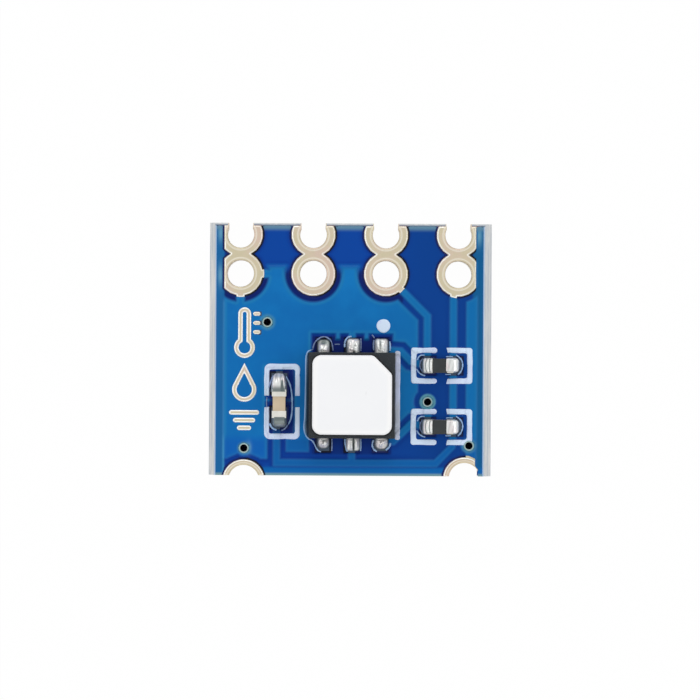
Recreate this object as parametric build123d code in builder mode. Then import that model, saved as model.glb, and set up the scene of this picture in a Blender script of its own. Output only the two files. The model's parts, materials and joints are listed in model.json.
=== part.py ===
from build123d import *
import os

# A temperature and humidity sensor module: a small printed circuit board, lying on its back.
# Millimetres. +Z leaves the component side, +Y points to the header edge, and the origin is the
# centre of the underside. Layers meet face to face, from the lower mask film up to the ink.

# Header terminals: a round hole, and a second hole behind it that the board's edge cuts open
header_pitch = 2.54
header_count = 4
header_shift = -0.04  # of the row, from the board's middle
header_side = 1.13  # from the middle of the outer holes to the board's side, on average
header_inset = 1.775  # from the header edge to the round holes
header_rows = 1.37  # from the round holes to the cut holes
header_hole = 0.475
header_pad = 0.762
mouth_width = 0.86  # of a cut hole, at the board's edge

# Board
board_width = (header_count - 1) * header_pitch + 2 * header_side
board_length = 8.83
board_thickness = 1.60  # over both mask films
foil = 0.035
mask_film = 0.025
plating = 0.025  # copper on the walls of the drilled holes
ink = 0.02
mask_gap = 0.065  # bare ring between a pad and the mask's edge
copper_margin = 0.52  # from the board's sides to the nearest copper

# Flats on round outlines that aren't bored: few, because each one is repeated in every layer
buried_sides = 16  # inside the laminate or under the mask
pad_sides = 20
via_sides = 6
symbol_sides = 12

# Board edges: V grooves scored from both faces at the sides, a shallow bevel at the header edge
score_web = 0.40  # laminate that is left between the two grooves
left_score = 0.245  # how far the groove's flank reaches in from the side
right_score = 0.30
header_bevel = 0.10
header_bevel_depth = 0.24

# Half-holes in the foot edge: the centre's distance from the board's side, and outside the edge
castellation_insets = {"left": (1.23, 0.185), "right": (0.93, 0.075)}
castellation_hole = 0.55
castellation_pad = 0.73

# Vias
via_hole = 0.12
via_pad = 0.27
via_window = 0.18  # bare rim on the component side
symbol_via_offset = (0.793, 0.891)  # from the thermometer's bulb
left_via_offset = (0.004, 1.133)  # from each half-hole
right_via_offset = (0.157, 1.145)
clock_via_offset = (2.645, -0.22)  # from the sensor's centre

# Copper
track = 0.23
copper_gap = 0.22
spoke_width = 0.28  # copper that ties the ground pad to the ground field
data_run_shift = 1.46  # from the data pad to its track
supply_run_shift = 0.17  # from the supply pad back to its track
supply_run_rise = 0.445  # from the foot edge
supply_corner = 0.60
capacitor_run_shift = 0.085
bottom_run_shift = 0.485
bottom_run_drop = 1.30
field_above_holes = 0.25  # the ground field ends between the header pads
field_low_rise = 0.39  # from the supply track up to the ground field
field_foot_rise = 0.585  # from the foot edge, beside the left half-hole
field_foot_width = 1.55
field_below_rise = 0.315
field_under_sensor = 1.15  # from the sensor's centre
strip_width = 0.36  # ground strip along the right side
strip_drop = 0.69  # from the header holes down to the strip's end

# Sensor: moulded six-lead package with a filter cover stuck on it
sensor_x = 0.065
sensor_inset = 2.815  # from the foot edge to the sensor's centre
sensor_size = 3.00
sensor_height = 0.75
lead_pitch = 1.00
lead_width = 0.40
lead_length = 0.40
lead_height = 0.20
die_pad_width = 2.40
die_pad_length = 1.50
die_width = 1.60
die_length = 1.20
die_height = 0.30
well_size = 1.10  # opening in the mould over the die
well_taper = 10
cover_size = 2.80
cover_height = 0.40
cover_corner = 0.45
cover_cut = 0.78  # the cut corner that marks lead 1
cover_edge = 0.05
sensor_land_width = 0.44
sensor_land_reach = 0.45  # beyond the package
sensor_land_tuck = 0.35  # under the package

# Chip parts
chip_length = 1.00
chip_width = 0.50
chip_cap = 0.25  # how far the metal ends reach along the chip
cap_wall = 0.03
resistor_height = 0.35
coat = 0.02
capacitor_height = 0.50
chip_land_gap = 0.50
chip_land_width = 0.55
resistor_land_length = 0.45
capacitor_land_length = 0.70
resistor_away = 3.135  # from the sensor's centre
resistor_rises = (1.05, -1.09)
resistor_shift = -0.07  # the chips sit a little to the left on their lands
capacitor_away = 2.54
capacitor_drop = 0.19
capacitor_shift = -0.115

# Solder
solder_film = 0.06  # under the leads and chips
solder_lip = 0.05
lead_solder_rise = 0.24
resistor_solder_rise = 0.26
capacitor_solder_rise = 0.36
full_fillet = 0.66  # share of a fillet's slope that its middle reaches
hollow_fillet = 0.42

# Printed legend
dot_radius = 0.24
dot_shift = 0.09  # to the right of lead 1
dot_rise = 0.93  # beyond the package's edge
bar_width = 0.22
bar_length = 3.11
frame_width = 1.25
frame_length = 2.69
frame_stroke = 0.17
frame_end_stroke = 0.22
frame_corner = 0.12
frame_gap = 0.39
frame_shift_x = 0.10
frame_shift_y = -0.04
bracket_width = 2.15
bracket_length = 1.32
bracket_stroke = 0.20
bracket_gap = 0.33

# Bare metal symbols: a thermometer, a drop and level bars, in a column along the left side
symbol_side = 1.24
symbol_stroke = 0.15
symbol_film = 0.01
thermometer_rise = 1.65  # from the sensor's centre to the bulb's
stem_width = 0.44
stem_length = 1.18
bulb_radius = 0.36
tick_count = 3
tick_length = 0.22
tick_pitch = 0.32
drop_rise = 0.18
drop_radius = 0.42
drop_height = 0.92
bars_drop = 0.62
bar_pitch = 0.27
bar_lengths = (1.02, 0.74, 0.46)

# Heights
core_bottom = mask_film + foil
core_top = board_thickness - mask_film - foil
foil_top = core_top + foil
ink_top = board_thickness + ink
package_bottom = foil_top + solder_film
package_top = package_bottom + sensor_height
chip_bottom = foil_top + solder_film

# Edges and sides
half_width, half_length = board_width / 2, board_length / 2
copper_side = half_width - copper_margin
film_left = left_score - half_width
film_right = half_width - right_score
film_head = half_length - header_bevel
film_foot = -half_length

# Places of the holes
header_y = half_length - header_inset
header_x = [header_shift + (i - (header_count - 1) / 2) * header_pitch for i in range(header_count)]
round_holes = [(x, header_y) for x in header_x]
cut_holes = [(x, header_y + header_rows) for x in header_x]
castellations = {
    "left": (castellation_insets["left"][0] - half_width, film_foot - castellation_insets["left"][1]),
    "right": (half_width - castellation_insets["right"][0], film_foot - castellation_insets["right"][1]),
}

# Places of the parts and their lands
sensor_y = film_foot + sensor_inset
head_row = sensor_y + sensor_size / 2  # the package's two edges with leads
foot_row = sensor_y - sensor_size / 2
lead_x = [sensor_x + i * lead_pitch for i in (-1, 0, 1)]
sensor_land_length = sensor_land_reach + sensor_land_tuck
sensor_land_offset = (sensor_land_reach - sensor_land_tuck) / 2
resistor_x = sensor_x + resistor_away
resistor_rows = [sensor_y + rise for rise in resistor_rises]
resistor_land_x = (chip_land_gap + resistor_land_length) / 2
capacitor_x, capacitor_y = sensor_x - capacitor_away, sensor_y - capacitor_drop
capacitor_land_y = (chip_land_gap + capacitor_land_length) / 2
symbol_x = symbol_side - half_width
thermometer_y = sensor_y + thermometer_rise
drop_y = sensor_y + drop_rise
bars_y = sensor_y - bars_drop


def shifted(place, offset):
    return place[0] + offset[0], place[1] + offset[1]


clock_via = shifted((sensor_x, sensor_y), clock_via_offset)
strip_via = shifted(castellations["right"], right_via_offset)
field_vias = [
    shifted((symbol_x, thermometer_y), symbol_via_offset),
    shifted(castellations["left"], left_via_offset),
]
vias = field_vias + [strip_via, clock_via]

# Where the copper runs turn, each from one land or pad to the next
data_x = header_x[2] + data_run_shift
supply_x = header_x[-1] - supply_run_shift
supply_y = film_foot + supply_run_rise
bottom_x = sensor_x + bottom_run_shift
data_turn = header_y - data_run_shift
strip_top = header_y - strip_drop
pull_up_x = resistor_x - resistor_land_x
data_runs = [
    [(header_x[2], header_y), (data_x, data_turn), (data_x, resistor_rows[0])],
    [
        (lead_x[2], head_row + 0.10),
        (lead_x[2] + 0.70, head_row + 0.05),
        (lead_x[2] + 1.05, head_row - 0.30),
        (pull_up_x, resistor_rows[0]),
    ],
]
supply_runs = [
    [
        (supply_x, header_y),
        (supply_x, supply_y + supply_corner),
        (supply_x - supply_corner, supply_y),
        (capacitor_x - capacitor_run_shift, supply_y),
        (capacitor_x - capacitor_run_shift, capacitor_y - capacitor_land_y),
    ],
    [(lead_x[1], supply_y), (lead_x[1], foot_row)],
]
clock_runs = [
    [
        (lead_x[2], foot_row - 0.10),
        (lead_x[2] + 0.45, foot_row - 0.10),
        (lead_x[2] + 1.10, resistor_rows[1] + 0.12),
        (pull_up_x, resistor_rows[1]),
    ],
    [(pull_up_x, resistor_rows[1]), clock_via],
]
clock_runs_below = [
    [
        clock_via,
        (bottom_x, clock_via[1] + clock_via[0] - bottom_x),
        (bottom_x, header_y - bottom_run_drop),
        (header_x[1], header_y),
    ]
]


def runs(lines, width):
    # Lines of copper or ink of one width, with mitred corners.
    for line in lines:
        with BuildLine() as path:
            Polyline(*line)
        trace(path.line, line_width=width)


def box_between(x0, y0, x1, y1, grow=0.0, mode=Mode.ADD):
    with Locations(((x0 + x1) / 2, (y0 + y1) / 2)):
        Rectangle(x1 - x0 + 2 * grow, y1 - y0 + 2 * grow, mode=mode)


def discs(places, radius, mode=Mode.ADD):
    with Locations(*places):
        Circle(radius, mode=mode)


def flat_discs(places, radius, sides, mode=Mode.ADD):
    # Round outlines drawn with flats, which touch the circle in the middle.
    with Locations(*places):
        RegularPolygon(radius, sides, major_radius=False, rotation=180 / sides, mode=mode)


def buried_discs(places, radius, mode=Mode.ADD):
    flat_discs(places, radius, buried_sides, mode)


# Lands, each drawn with a border so that gaps, mask edges and film can follow it
def lead_land(column, row, grow=0.0):
    outward = 1 if row == head_row else -1
    with Locations((lead_x[column], row + outward * sensor_land_offset)):
        Rectangle(sensor_land_width + 2 * grow, sensor_land_length + 2 * grow)


def resistor_land(side, y, grow=0.0):
    with Locations((resistor_x + side * resistor_land_x, y)):
        Rectangle(resistor_land_length + 2 * grow, chip_land_width + 2 * grow)


def capacitor_land(side, grow=0.0, mode=Mode.ADD):
    with Locations((capacitor_x, capacitor_y + side * capacitor_land_y)):
        Rectangle(chip_land_width + 2 * grow, capacitor_land_length + 2 * grow, mode=mode)


def ground_spokes(grow=0.0):
    # Two bridges across the gap round the ground pad, one to its right and one at its foot.
    reach = header_pad + copper_gap + track
    x, half = header_x[0], spoke_width / 2
    box_between(x, header_y - half, x + reach, header_y + half, grow)
    box_between(x - half, header_y - reach, x + half, header_y, grow)


def strip_run(grow=0.0):
    foot = castellations["right"][1]
    box_between(copper_side - strip_width, foot, copper_side, strip_top, grow)


# Outlines of the copper, one for each connected piece of foil
def data_copper(grow=0.0):
    with BuildSketch() as area:
        runs(data_runs, track + 2 * grow)
        lead_land(2, head_row, grow)
        resistor_land(-1, resistor_rows[0], grow)
    return area.sketch


def supply_copper(grow=0.0):
    with BuildSketch() as area:
        runs(supply_runs, track + 2 * grow)
        lead_land(1, foot_row, grow)
        for y in resistor_rows:
            resistor_land(1, y, grow)
        capacitor_land(-1, grow)
    return area.sketch


def clock_copper(grow=0.0):
    with BuildSketch() as area:
        runs(clock_runs, track + 2 * grow)
        lead_land(2, foot_row, grow)
        resistor_land(-1, resistor_rows[1], grow)
        buried_discs([clock_via], via_pad + grow)
    return area.sketch


def clock_copper_below(grow=0.0):
    with BuildSketch() as area:
        runs(clock_runs_below, track + 2 * grow)
        buried_discs([clock_via], via_pad + grow)
    return area.sketch


def spare_copper(row, grow=0.0):
    with BuildSketch() as area:
        lead_land(0, row, grow)
    return area.sketch


def lead_row_gap(row, gap):
    # The bare band round a row of leads. Its outer side dips between one land and the next.
    outward = 1 if row == head_row else -1
    inner, outer = row - outward * (sensor_land_tuck + gap), row + outward * sensor_land_reach
    with BuildSketch() as area:
        for column in range(3):
            lead_land(column, row, gap)
        box_between(lead_x[0], min(inner, outer), lead_x[2], max(inner, outer))
    return area.sketch


def ground_copper(grow=0.0):
    # The ground field: its area, less a gap round everything else, plus its own lands.
    gap = copper_gap - grow
    tie = copper_gap + track
    package_left = sensor_x - sensor_size / 2
    field_top = header_y + field_above_holes
    field_low = supply_y + field_low_rise
    field_right = data_x - track / 2 - copper_gap
    field_bottom = sensor_y - field_under_sensor
    land_top = capacitor_y + capacitor_land_y + capacitor_land_length / 2
    with BuildSketch() as area:
        box_between(-copper_side, field_low, package_left, field_top, grow)
        foot_right = field_foot_width - copper_side
        box_between(-copper_side, film_foot + field_foot_rise, foot_right, field_low, grow)
        with BuildLine():
            Polyline(
                (package_left, field_top + grow),
                (header_x[2], field_top + grow),
                (header_x[2], header_y),
                (data_x, data_turn),
                (data_x, resistor_rows[0]),
                (field_right + grow, resistor_rows[0]),
                (field_right + grow, field_bottom - grow),
                (package_left, field_bottom - grow),
                close=True,
            )
        make_face()
        buried_discs(round_holes + cut_holes, header_pad + gap, mode=Mode.SUBTRACT)
        buried_discs(castellations.values(), castellation_pad + gap, mode=Mode.SUBTRACT)
        for other in (data_copper, supply_copper, clock_copper):
            add(other(gap), mode=Mode.SUBTRACT)
        for row in (head_row, foot_row):
            add(lead_row_gap(row, gap), mode=Mode.SUBTRACT)
        capacitor_land(1, gap, mode=Mode.SUBTRACT)
        ground_spokes(grow)
        buried_discs(field_vias, via_pad + grow)
        lead_land(1, head_row, grow)
        capacitor_land(1, grow)
        runs([[(lead_x[1], head_row), (lead_x[1], head_row + sensor_land_reach + tie)]], track + 2 * grow)
        runs([[(capacitor_x, land_top - tie), (capacitor_x, land_top + tie)]], track + 2 * grow)
    return area.sketch


def strip_copper(grow=0.0):
    # The ground strip along the right side, which ends in the right half-hole.
    gap = copper_gap - grow
    with BuildSketch() as area:
        strip_run(grow)
        buried_discs(round_holes, header_pad + gap, mode=Mode.SUBTRACT)
        add(supply_copper(gap), mode=Mode.SUBTRACT)
        buried_discs([strip_via], via_pad + grow)
        box_between(-copper_side, film_foot, copper_side, strip_top, grow, mode=Mode.INTERSECT)
    return area.sketch


def ground_copper_below(grow=0.0):
    gap = copper_gap - grow
    low, top = film_foot + field_below_rise, header_y + field_above_holes
    with BuildSketch() as area:
        box_between(-copper_side, low, copper_side, top, grow)
        buried_discs(round_holes + cut_holes, header_pad + gap, mode=Mode.SUBTRACT)
        buried_discs(castellations.values(), castellation_pad + gap, mode=Mode.SUBTRACT)
        add(clock_copper_below(gap), mode=Mode.SUBTRACT)
        ground_spokes(grow)
        buried_discs(field_vias + [strip_via], via_pad + grow)
    return area.sketch


# Pads: the bare, plated copper round the drilled holes
def header_pad_area(column, side):
    # Two overlapping rings, cut straight where they would come too near the board's sides, and
    # the start of the copper that leaves them.
    x = header_x[column]
    with BuildSketch() as root:
        if column == 0:
            ground_spokes()
        elif (side, column) == ("top", 2):
            runs(data_runs, track)
        elif (side, column) == ("top", header_count - 1):
            runs(supply_runs, track)
        elif (side, column) == ("bottom", 1):
            runs(clock_runs_below, track)
        else:
            discs([round_holes[column]], header_hole)
        buried_discs([round_holes[column]], header_pad + mask_gap, mode=Mode.INTERSECT)
    with BuildSketch() as area:
        flat_discs([round_holes[column], cut_holes[column]], header_pad, pad_sides)
        add(root.sketch)
        left, right = max(x - header_pitch, -copper_side), min(x + header_pitch, copper_side)
        box_between(left, header_y - header_pitch, right, film_head, mode=Mode.INTERSECT)
    return area.sketch


def header_window(column):
    x = header_x[column]
    left, right = max(x - header_pitch, -copper_side), min(x + header_pitch, copper_side)
    with BuildSketch() as area:
        buried_discs([round_holes[column], cut_holes[column]], header_pad + mask_gap)
        box_between(
            left - mask_gap, header_y - header_pitch, right + mask_gap, film_head, mode=Mode.INTERSECT
        )
    return area.sketch


def castellation_pad_area(side):
    # A ring cut straight at the board's edges. The right one begins the ground strip.
    with BuildSketch() as area:
        if side == "right":
            strip_run()
            buried_discs([castellations[side]], castellation_pad + mask_gap, mode=Mode.INTERSECT)
        flat_discs([castellations[side]], castellation_pad, pad_sides)
        box_between(-copper_side, film_foot, copper_side, strip_top, mode=Mode.INTERSECT)
    return area.sketch


def castellation_window(side):
    reach = copper_side + mask_gap
    with BuildSketch() as area:
        buried_discs([castellations[side]], castellation_pad + mask_gap)
        box_between(-reach, film_foot, reach, strip_top, mode=Mode.INTERSECT)
    return area.sketch


def header_bores(column):
    # The round hole, and the cut hole with its mouth through the board's edge.
    x, y = cut_holes[column]
    with BuildSketch() as area:
        discs([round_holes[column], (x, y)], header_hole)
        box_between(x - mouth_width / 2, y, x + mouth_width / 2, half_length + header_hole)
    return area.sketch


def header_drillings(column):
    # The same holes as drilled, before the copper on their walls.
    x, y = cut_holes[column]
    reach = mouth_width / 2 + plating
    with BuildSketch() as area:
        buried_discs([round_holes[column], (x, y)], header_hole + plating)
        box_between(x - reach, y, x + reach, half_length + header_hole)
    return area.sketch


# The symbols' outlines
def thermometer_outline(inset):
    # A tube with a round top, standing in a bulb.
    with BuildSketch() as area:
        half = stem_width / 2 - inset
        top = thermometer_y + stem_length
        box_between(symbol_x - half, thermometer_y, symbol_x + half, top)
        flat_discs([(symbol_x, top)], half, symbol_sides)
        flat_discs([(symbol_x, thermometer_y)], bulb_radius - inset, symbol_sides)
    return area.sketch


def drop_outline(inset):
    # The hull of a round foot and a peak above it.
    radius = drop_radius - inset
    peak = drop_height * radius / drop_radius
    with BuildSketch() as area:
        flat_discs([(symbol_x, drop_y)], radius, symbol_sides)
        with BuildLine():
            Line((symbol_x, drop_y), (symbol_x, drop_y + peak))
        make_hull()
    return area.sketch


def symbol_area():
    ticks_x = symbol_x + stem_width / 2 + symbol_stroke
    with BuildSketch() as area:
        for outline in (thermometer_outline, drop_outline):
            add(outline(0))
            add(outline(symbol_stroke), mode=Mode.SUBTRACT)
        for i in range(tick_count):
            y = thermometer_y + stem_length - i * tick_pitch
            runs([[(ticks_x, y), (ticks_x + tick_length, y)]], symbol_stroke)
        for i, length in enumerate(bar_lengths):
            y = bars_y - i * bar_pitch
            runs([[(symbol_x - length / 2, y), (symbol_x + length / 2, y)]], symbol_stroke)
    return area.sketch


# Areas of the two mask films that stay open
def top_windows():
    with BuildSketch() as area:
        for i in range(header_count):
            add(header_window(i))
        for side in castellations:
            add(castellation_window(side))
        for row in (head_row, foot_row):
            for column in range(3):
                lead_land(column, row, mask_gap)
        for side in (-1, 1):
            for y in resistor_rows:
                resistor_land(side, y, mask_gap)
            capacitor_land(side, mask_gap)
        with Locations((sensor_x, sensor_y)):
            Rectangle(die_pad_width + 2 * mask_gap, die_pad_length + 2 * mask_gap)
        flat_discs(vias, via_window, via_sides)
        add(symbol_area())
    return area.sketch


def bottom_windows():
    with BuildSketch() as area:
        for i in range(header_count):
            add(header_window(i))
        for side in castellations:
            add(castellation_window(side))
    return area.sketch


os.makedirs("parts", exist_ok=True)

# Laminate: its section across the scored sides, crossed with its section over the header edge,
# then drilled. The copper on the walls takes up the rest of each drilled hole.
mid_height = (core_bottom + core_top) / 2
with BuildPart() as laminate_blank:
    with BuildSketch(Plane.XZ):
        with BuildLine():
            Polyline(
                (film_left, core_bottom),
                (-half_width, mid_height - score_web / 2),
                (-half_width, mid_height + score_web / 2),
                (film_left, core_top),
                (film_right, core_top),
                (half_width, mid_height + score_web / 2),
                (half_width, mid_height - score_web / 2),
                (film_right, core_bottom),
                close=True,
            )
        make_face()
    extrude(amount=half_length, both=True)
    with BuildSketch(Plane.YZ):
        with BuildLine():
            Polyline(
                (-half_length, core_bottom),
                (-half_length, core_top),
                (film_head, core_top),
                (half_length, core_top - header_bevel_depth),
                (half_length, core_bottom + header_bevel_depth),
                (film_head, core_bottom),
                close=True,
            )
        make_face()
    extrude(amount=board_width, both=True, mode=Mode.INTERSECT)

with BuildPart() as laminate_core:
    add(laminate_blank.part)
    with BuildSketch(Plane.XY.offset(core_bottom)):
        for i in range(header_count):
            add(header_drillings(i))
        buried_discs(castellations.values(), castellation_hole + plating)
        flat_discs(vias, via_hole + plating, via_sides)
    extrude(amount=core_top - core_bottom, mode=Mode.SUBTRACT)
laminate_core.part.label = "laminate_core"
export_step(laminate_core.part, "parts/laminate_core.step")

# Header terminals: plated walls and a pad on each face, in one piece of metal
for i in range(header_count):
    with BuildPart() as terminal:
        with BuildSketch(Plane.XY.offset(core_bottom)):
            add(header_drillings(i))
        extrude(amount=core_top - core_bottom)
        add(laminate_blank.part, mode=Mode.INTERSECT)
        for side, level in (("bottom", mask_film), ("top", core_top)):
            with BuildSketch(Plane.XY.offset(level)):
                add(header_pad_area(i, side))
            extrude(amount=foil)
        with BuildSketch(Plane.XY):
            add(header_bores(i))
        extrude(amount=board_thickness, mode=Mode.SUBTRACT)
    terminal.part.label = f"terminal_{i + 1}"
    export_step(terminal.part, f"parts/terminal_{i + 1}.step")

# Half-holes in the foot edge, made the same way
for side, place in castellations.items():
    with BuildPart() as castellation:
        with BuildSketch(Plane.XY.offset(core_bottom)):
            buried_discs([place], castellation_hole + plating)
        extrude(amount=core_top - core_bottom)
        add(laminate_blank.part, mode=Mode.INTERSECT)
        for level in (mask_film, core_top):
            with BuildSketch(Plane.XY.offset(level)):
                add(castellation_pad_area(side))
            extrude(amount=foil)
        with BuildSketch(Plane.XY):
            discs([place], castellation_hole)
        extrude(amount=board_thickness, mode=Mode.SUBTRACT)
    castellation.part.label = f"castellation_{side}"
    export_step(castellation.part, f"parts/castellation_{side}.step")

# Vias: plated walls from one foil to the other
for i, place in enumerate(vias, 1):
    with BuildPart() as via:
        with BuildSketch(Plane.XY.offset(mask_film)):
            flat_discs([place], via_hole + plating, via_sides)
            flat_discs([place], via_hole, via_sides, Mode.SUBTRACT)
        extrude(amount=foil_top - mask_film)
    via.part.label = f"via_{i}"
    export_step(via.part, f"parts/via_{i}.step")

# Foil on the component side, which ends where the plated pads begin
top_nets = {
    "ground_field_top": ground_copper,
    "ground_strip_top": strip_copper,
    "supply_track": supply_copper,
    "data_track": data_copper,
    "clock_track_top": clock_copper,
    "lead_3_land": lambda grow=0.0: spare_copper(head_row, grow),
    "lead_4_land": lambda grow=0.0: spare_copper(foot_row, grow),
}
top_foils = []
for name, copper in top_nets.items():
    with BuildPart() as net:
        with BuildSketch(Plane.XY.offset(core_top)):
            add(copper())
            buried_discs(round_holes, header_pad + mask_gap, mode=Mode.SUBTRACT)
            buried_discs(castellations.values(), castellation_pad + mask_gap, mode=Mode.SUBTRACT)
            flat_discs(vias, via_hole + plating, via_sides, Mode.SUBTRACT)
        extrude(amount=foil)
    net.part.label = name
    export_step(net.part, f"parts/{name}.step")
    top_foils.append(net.part)

# Foil on the underside
bottom_nets = {"ground_field_bottom": ground_copper_below, "clock_track_bottom": clock_copper_below}
bottom_foils = []
for name, copper in bottom_nets.items():
    with BuildPart() as net:
        with BuildSketch(Plane.XY.offset(mask_film)):
            add(copper())
            buried_discs(round_holes, header_pad + mask_gap, mode=Mode.SUBTRACT)
            flat_discs(vias, via_hole + plating, via_sides, Mode.SUBTRACT)
        extrude(amount=foil)
    net.part.label = name
    export_step(net.part, f"parts/{name}.step")
    bottom_foils.append(net.part)

# Mask on the component side: a film on the bare laminate, raised over the foil and down its sides
with BuildPart() as covered_top:
    with BuildSketch(Plane.XY.offset(core_top)):
        box_between(film_left, film_foot, film_right, film_head)
        add(top_windows(), mode=Mode.SUBTRACT)
    extrude(amount=mask_film)
    with BuildSketch(Plane.XY.offset(core_top)):
        for copper in (ground_copper, strip_copper, supply_copper, data_copper, clock_copper):
            add(copper(mask_film))
        add(top_windows(), mode=Mode.SUBTRACT)
        box_between(film_left, film_foot, film_right, film_head, mode=Mode.INTERSECT)
    extrude(amount=foil + mask_film)

with BuildPart() as solder_mask_top:
    add(covered_top.part)
    for foil_part in top_foils:
        add(foil_part, mode=Mode.SUBTRACT)
solder_mask_top.part.label = "solder_mask_top"
export_step(solder_mask_top.part, "parts/solder_mask_top.step")

# Mask on the underside, closed over the vias: the face that the board lies on
with BuildPart() as solder_mask_bottom:
    with BuildSketch(Plane.XY.offset(core_bottom)):
        box_between(film_left, film_foot, film_right, film_head)
        add(bottom_windows(), mode=Mode.SUBTRACT)
    extrude(amount=-mask_film)
    with BuildSketch(Plane.XY.offset(core_bottom)):
        for copper in (ground_copper_below, clock_copper_below):
            add(copper(mask_film))
        add(bottom_windows(), mode=Mode.SUBTRACT)
    extrude(amount=-foil - mask_film)
    for foil_part in bottom_foils:
        add(foil_part, mode=Mode.SUBTRACT)
    with BuildSketch(Plane.XY.offset(mask_film)):
        flat_discs(vias, via_hole + plating, via_sides)
    extrude(amount=foil, mode=Mode.SUBTRACT)
solder_mask_bottom.part.label = "solder_mask_bottom"
export_step(solder_mask_bottom.part, "parts/solder_mask_bottom.step")

# Plated copper that shows through the symbols' windows
with BuildPart() as symbol_plating:
    with BuildSketch(Plane.XY.offset(foil_top)):
        add(symbol_area())
    extrude(amount=symbol_film)
symbol_plating.part.label = "symbol_plating"
export_step(symbol_plating.part, "parts/symbol_plating.step")


# Printed legend, level on top and following the mask underneath
def dot_print():
    with BuildSketch() as area:
        flat_discs([(lead_x[2] + dot_shift, head_row + dot_rise)], dot_radius, pad_sides)
    return area.sketch


def bar_print():
    with BuildSketch() as area:
        with Locations((sensor_x + (sensor_size + bar_width) / 2, sensor_y)):
            Rectangle(bar_width, bar_length)
    return area.sketch


def frame_print():
    # A frame with cut corners, open in the middle of each long side.
    with BuildSketch() as area:
        with Locations((capacitor_x + frame_shift_x, capacitor_y + frame_shift_y)):
            Rectangle(frame_width, frame_length)
        chamfer(area.vertices(), length=frame_corner)
        with Locations((capacitor_x + frame_shift_x, capacitor_y + frame_shift_y)):
            Rectangle(
                frame_width - 2 * frame_stroke, frame_length - 2 * frame_end_stroke, mode=Mode.SUBTRACT
            )
            Rectangle(frame_width, frame_gap, mode=Mode.SUBTRACT)
    return area.sketch


def bracket_print(y):
    # Two brackets that face each other.
    reach_y = (bracket_length - bracket_stroke) / 2
    with BuildSketch() as area:
        for side in (-1, 1):
            outer = resistor_x + side * (bracket_width - bracket_stroke) / 2
            inner = resistor_x + side * bracket_gap / 2
            top, foot = y + reach_y, y - reach_y
            runs([[(inner, top), (outer, top), (outer, foot), (inner, foot)]], bracket_stroke)
    return area.sketch


prints = {
    "legend_lead_1_dot": dot_print(),
    "legend_sensor_bar": bar_print(),
    "legend_capacitor_frame": frame_print(),
    "legend_resistor_1_brackets": bracket_print(resistor_rows[0]),
    "legend_resistor_2_brackets": bracket_print(resistor_rows[1]),
}
for name, outline in prints.items():
    with BuildPart() as legend:
        with BuildSketch(Plane.XY.offset(core_top)):
            add(outline)
            add(top_windows(), mode=Mode.SUBTRACT)
        extrude(amount=ink_top - core_top)
        add(covered_top.part, mode=Mode.SUBTRACT)
    legend.part.label = name
    export_step(legend.part, f"parts/{name}.step")


def box_on(level, places, width, length, height, mode=Mode.ADD):
    with BuildSketch(Plane.XY.offset(level)) as base:
        with Locations(*places):
            Rectangle(width, length)
    extrude(base.sketch, amount=height, mode=mode)


# Sensor: leads and die pad level with the underside, the die on its pad, the mould round them
# with a well over the die, and the filter cover on top
with BuildPart() as sensor_leads:
    for row, inward in ((head_row, -1), (foot_row, 1)):
        places = [(x, row + inward * lead_length / 2) for x in lead_x]
        box_on(package_bottom, places, lead_width, lead_length, lead_height)
sensor_leads.part.label = "sensor_leads"
export_step(sensor_leads.part, "parts/sensor_leads.step")

sensor_place = [(sensor_x, sensor_y)]
with BuildPart() as sensor_die_pad:
    box_on(package_bottom, sensor_place, die_pad_width, die_pad_length, lead_height)
sensor_die_pad.part.label = "sensor_die_pad"
export_step(sensor_die_pad.part, "parts/sensor_die_pad.step")

with BuildPart() as sensor_die:
    box_on(package_bottom + lead_height, sensor_place, die_width, die_length, die_height)
sensor_die.part.label = "sensor_die"
export_step(sensor_die.part, "parts/sensor_die.step")

with BuildPart() as sensor_mould:
    box_on(package_bottom, sensor_place, sensor_size, sensor_size, sensor_height)
    with BuildSketch(Plane.XY.offset(package_top)):
        with Locations(*sensor_place):
            Rectangle(well_size, well_size)
    well_depth = sensor_height - lead_height - die_height
    extrude(amount=-well_depth, taper=well_taper, mode=Mode.SUBTRACT)
    for inner in (sensor_leads, sensor_die_pad, sensor_die):
        add(inner.part, mode=Mode.SUBTRACT)
sensor_mould.part.label = "sensor_mould"
export_step(sensor_mould.part, "parts/sensor_mould.step")

with BuildPart() as sensor_cover:
    half = cover_size / 2
    with BuildSketch(Plane.XY.offset(package_top)) as cover_outline:
        with BuildLine():
            Polyline(
                (sensor_x - half, sensor_y - half),
                (sensor_x + half, sensor_y - half),
                (sensor_x + half, sensor_y + half - cover_cut),
                (sensor_x + half - cover_cut, sensor_y + half),
                (sensor_x - half, sensor_y + half),
                close=True,
            )
        make_face()
        fillet(cover_outline.vertices(), radius=cover_corner)
    extrude(amount=cover_height)
    chamfer(sensor_cover.faces().sort_by(Axis.Z)[-1].edges(), length=cover_edge)
sensor_cover.part.label = "sensor_cover"
export_step(sensor_cover.part, "parts/sensor_cover.step")


# Solder
def solder_joint(end, outward, tuck, reach, rise, width, fullness):
    # One joint: a film under the metal end, and a fillet up its outer face. Its section bulges
    # where fullness is over a half and is hollow where it is less.
    sideways = Vector(*outward).cross(Vector(0, 0, 1))
    section = Plane(origin=(*end, foil_top), x_dir=outward, z_dir=sideways)
    with BuildPart() as joint:
        with BuildSketch(section):
            with BuildLine():
                Polyline(
                    (0, rise),
                    (0, solder_film),
                    (-tuck, solder_film),
                    (-tuck, 0),
                    (reach, 0),
                    (reach, solder_lip),
                )
                ThreePointArc(
                    (reach, solder_lip),
                    (reach * fullness, solder_lip + (rise - solder_lip) * fullness),
                    (0, rise),
                )
            make_face()
        extrude(amount=width / 2, both=True)
    return joint.part


def write_joint(joint, name):
    joint.label = name
    export_step(joint, f"parts/{name}.step")


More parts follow.
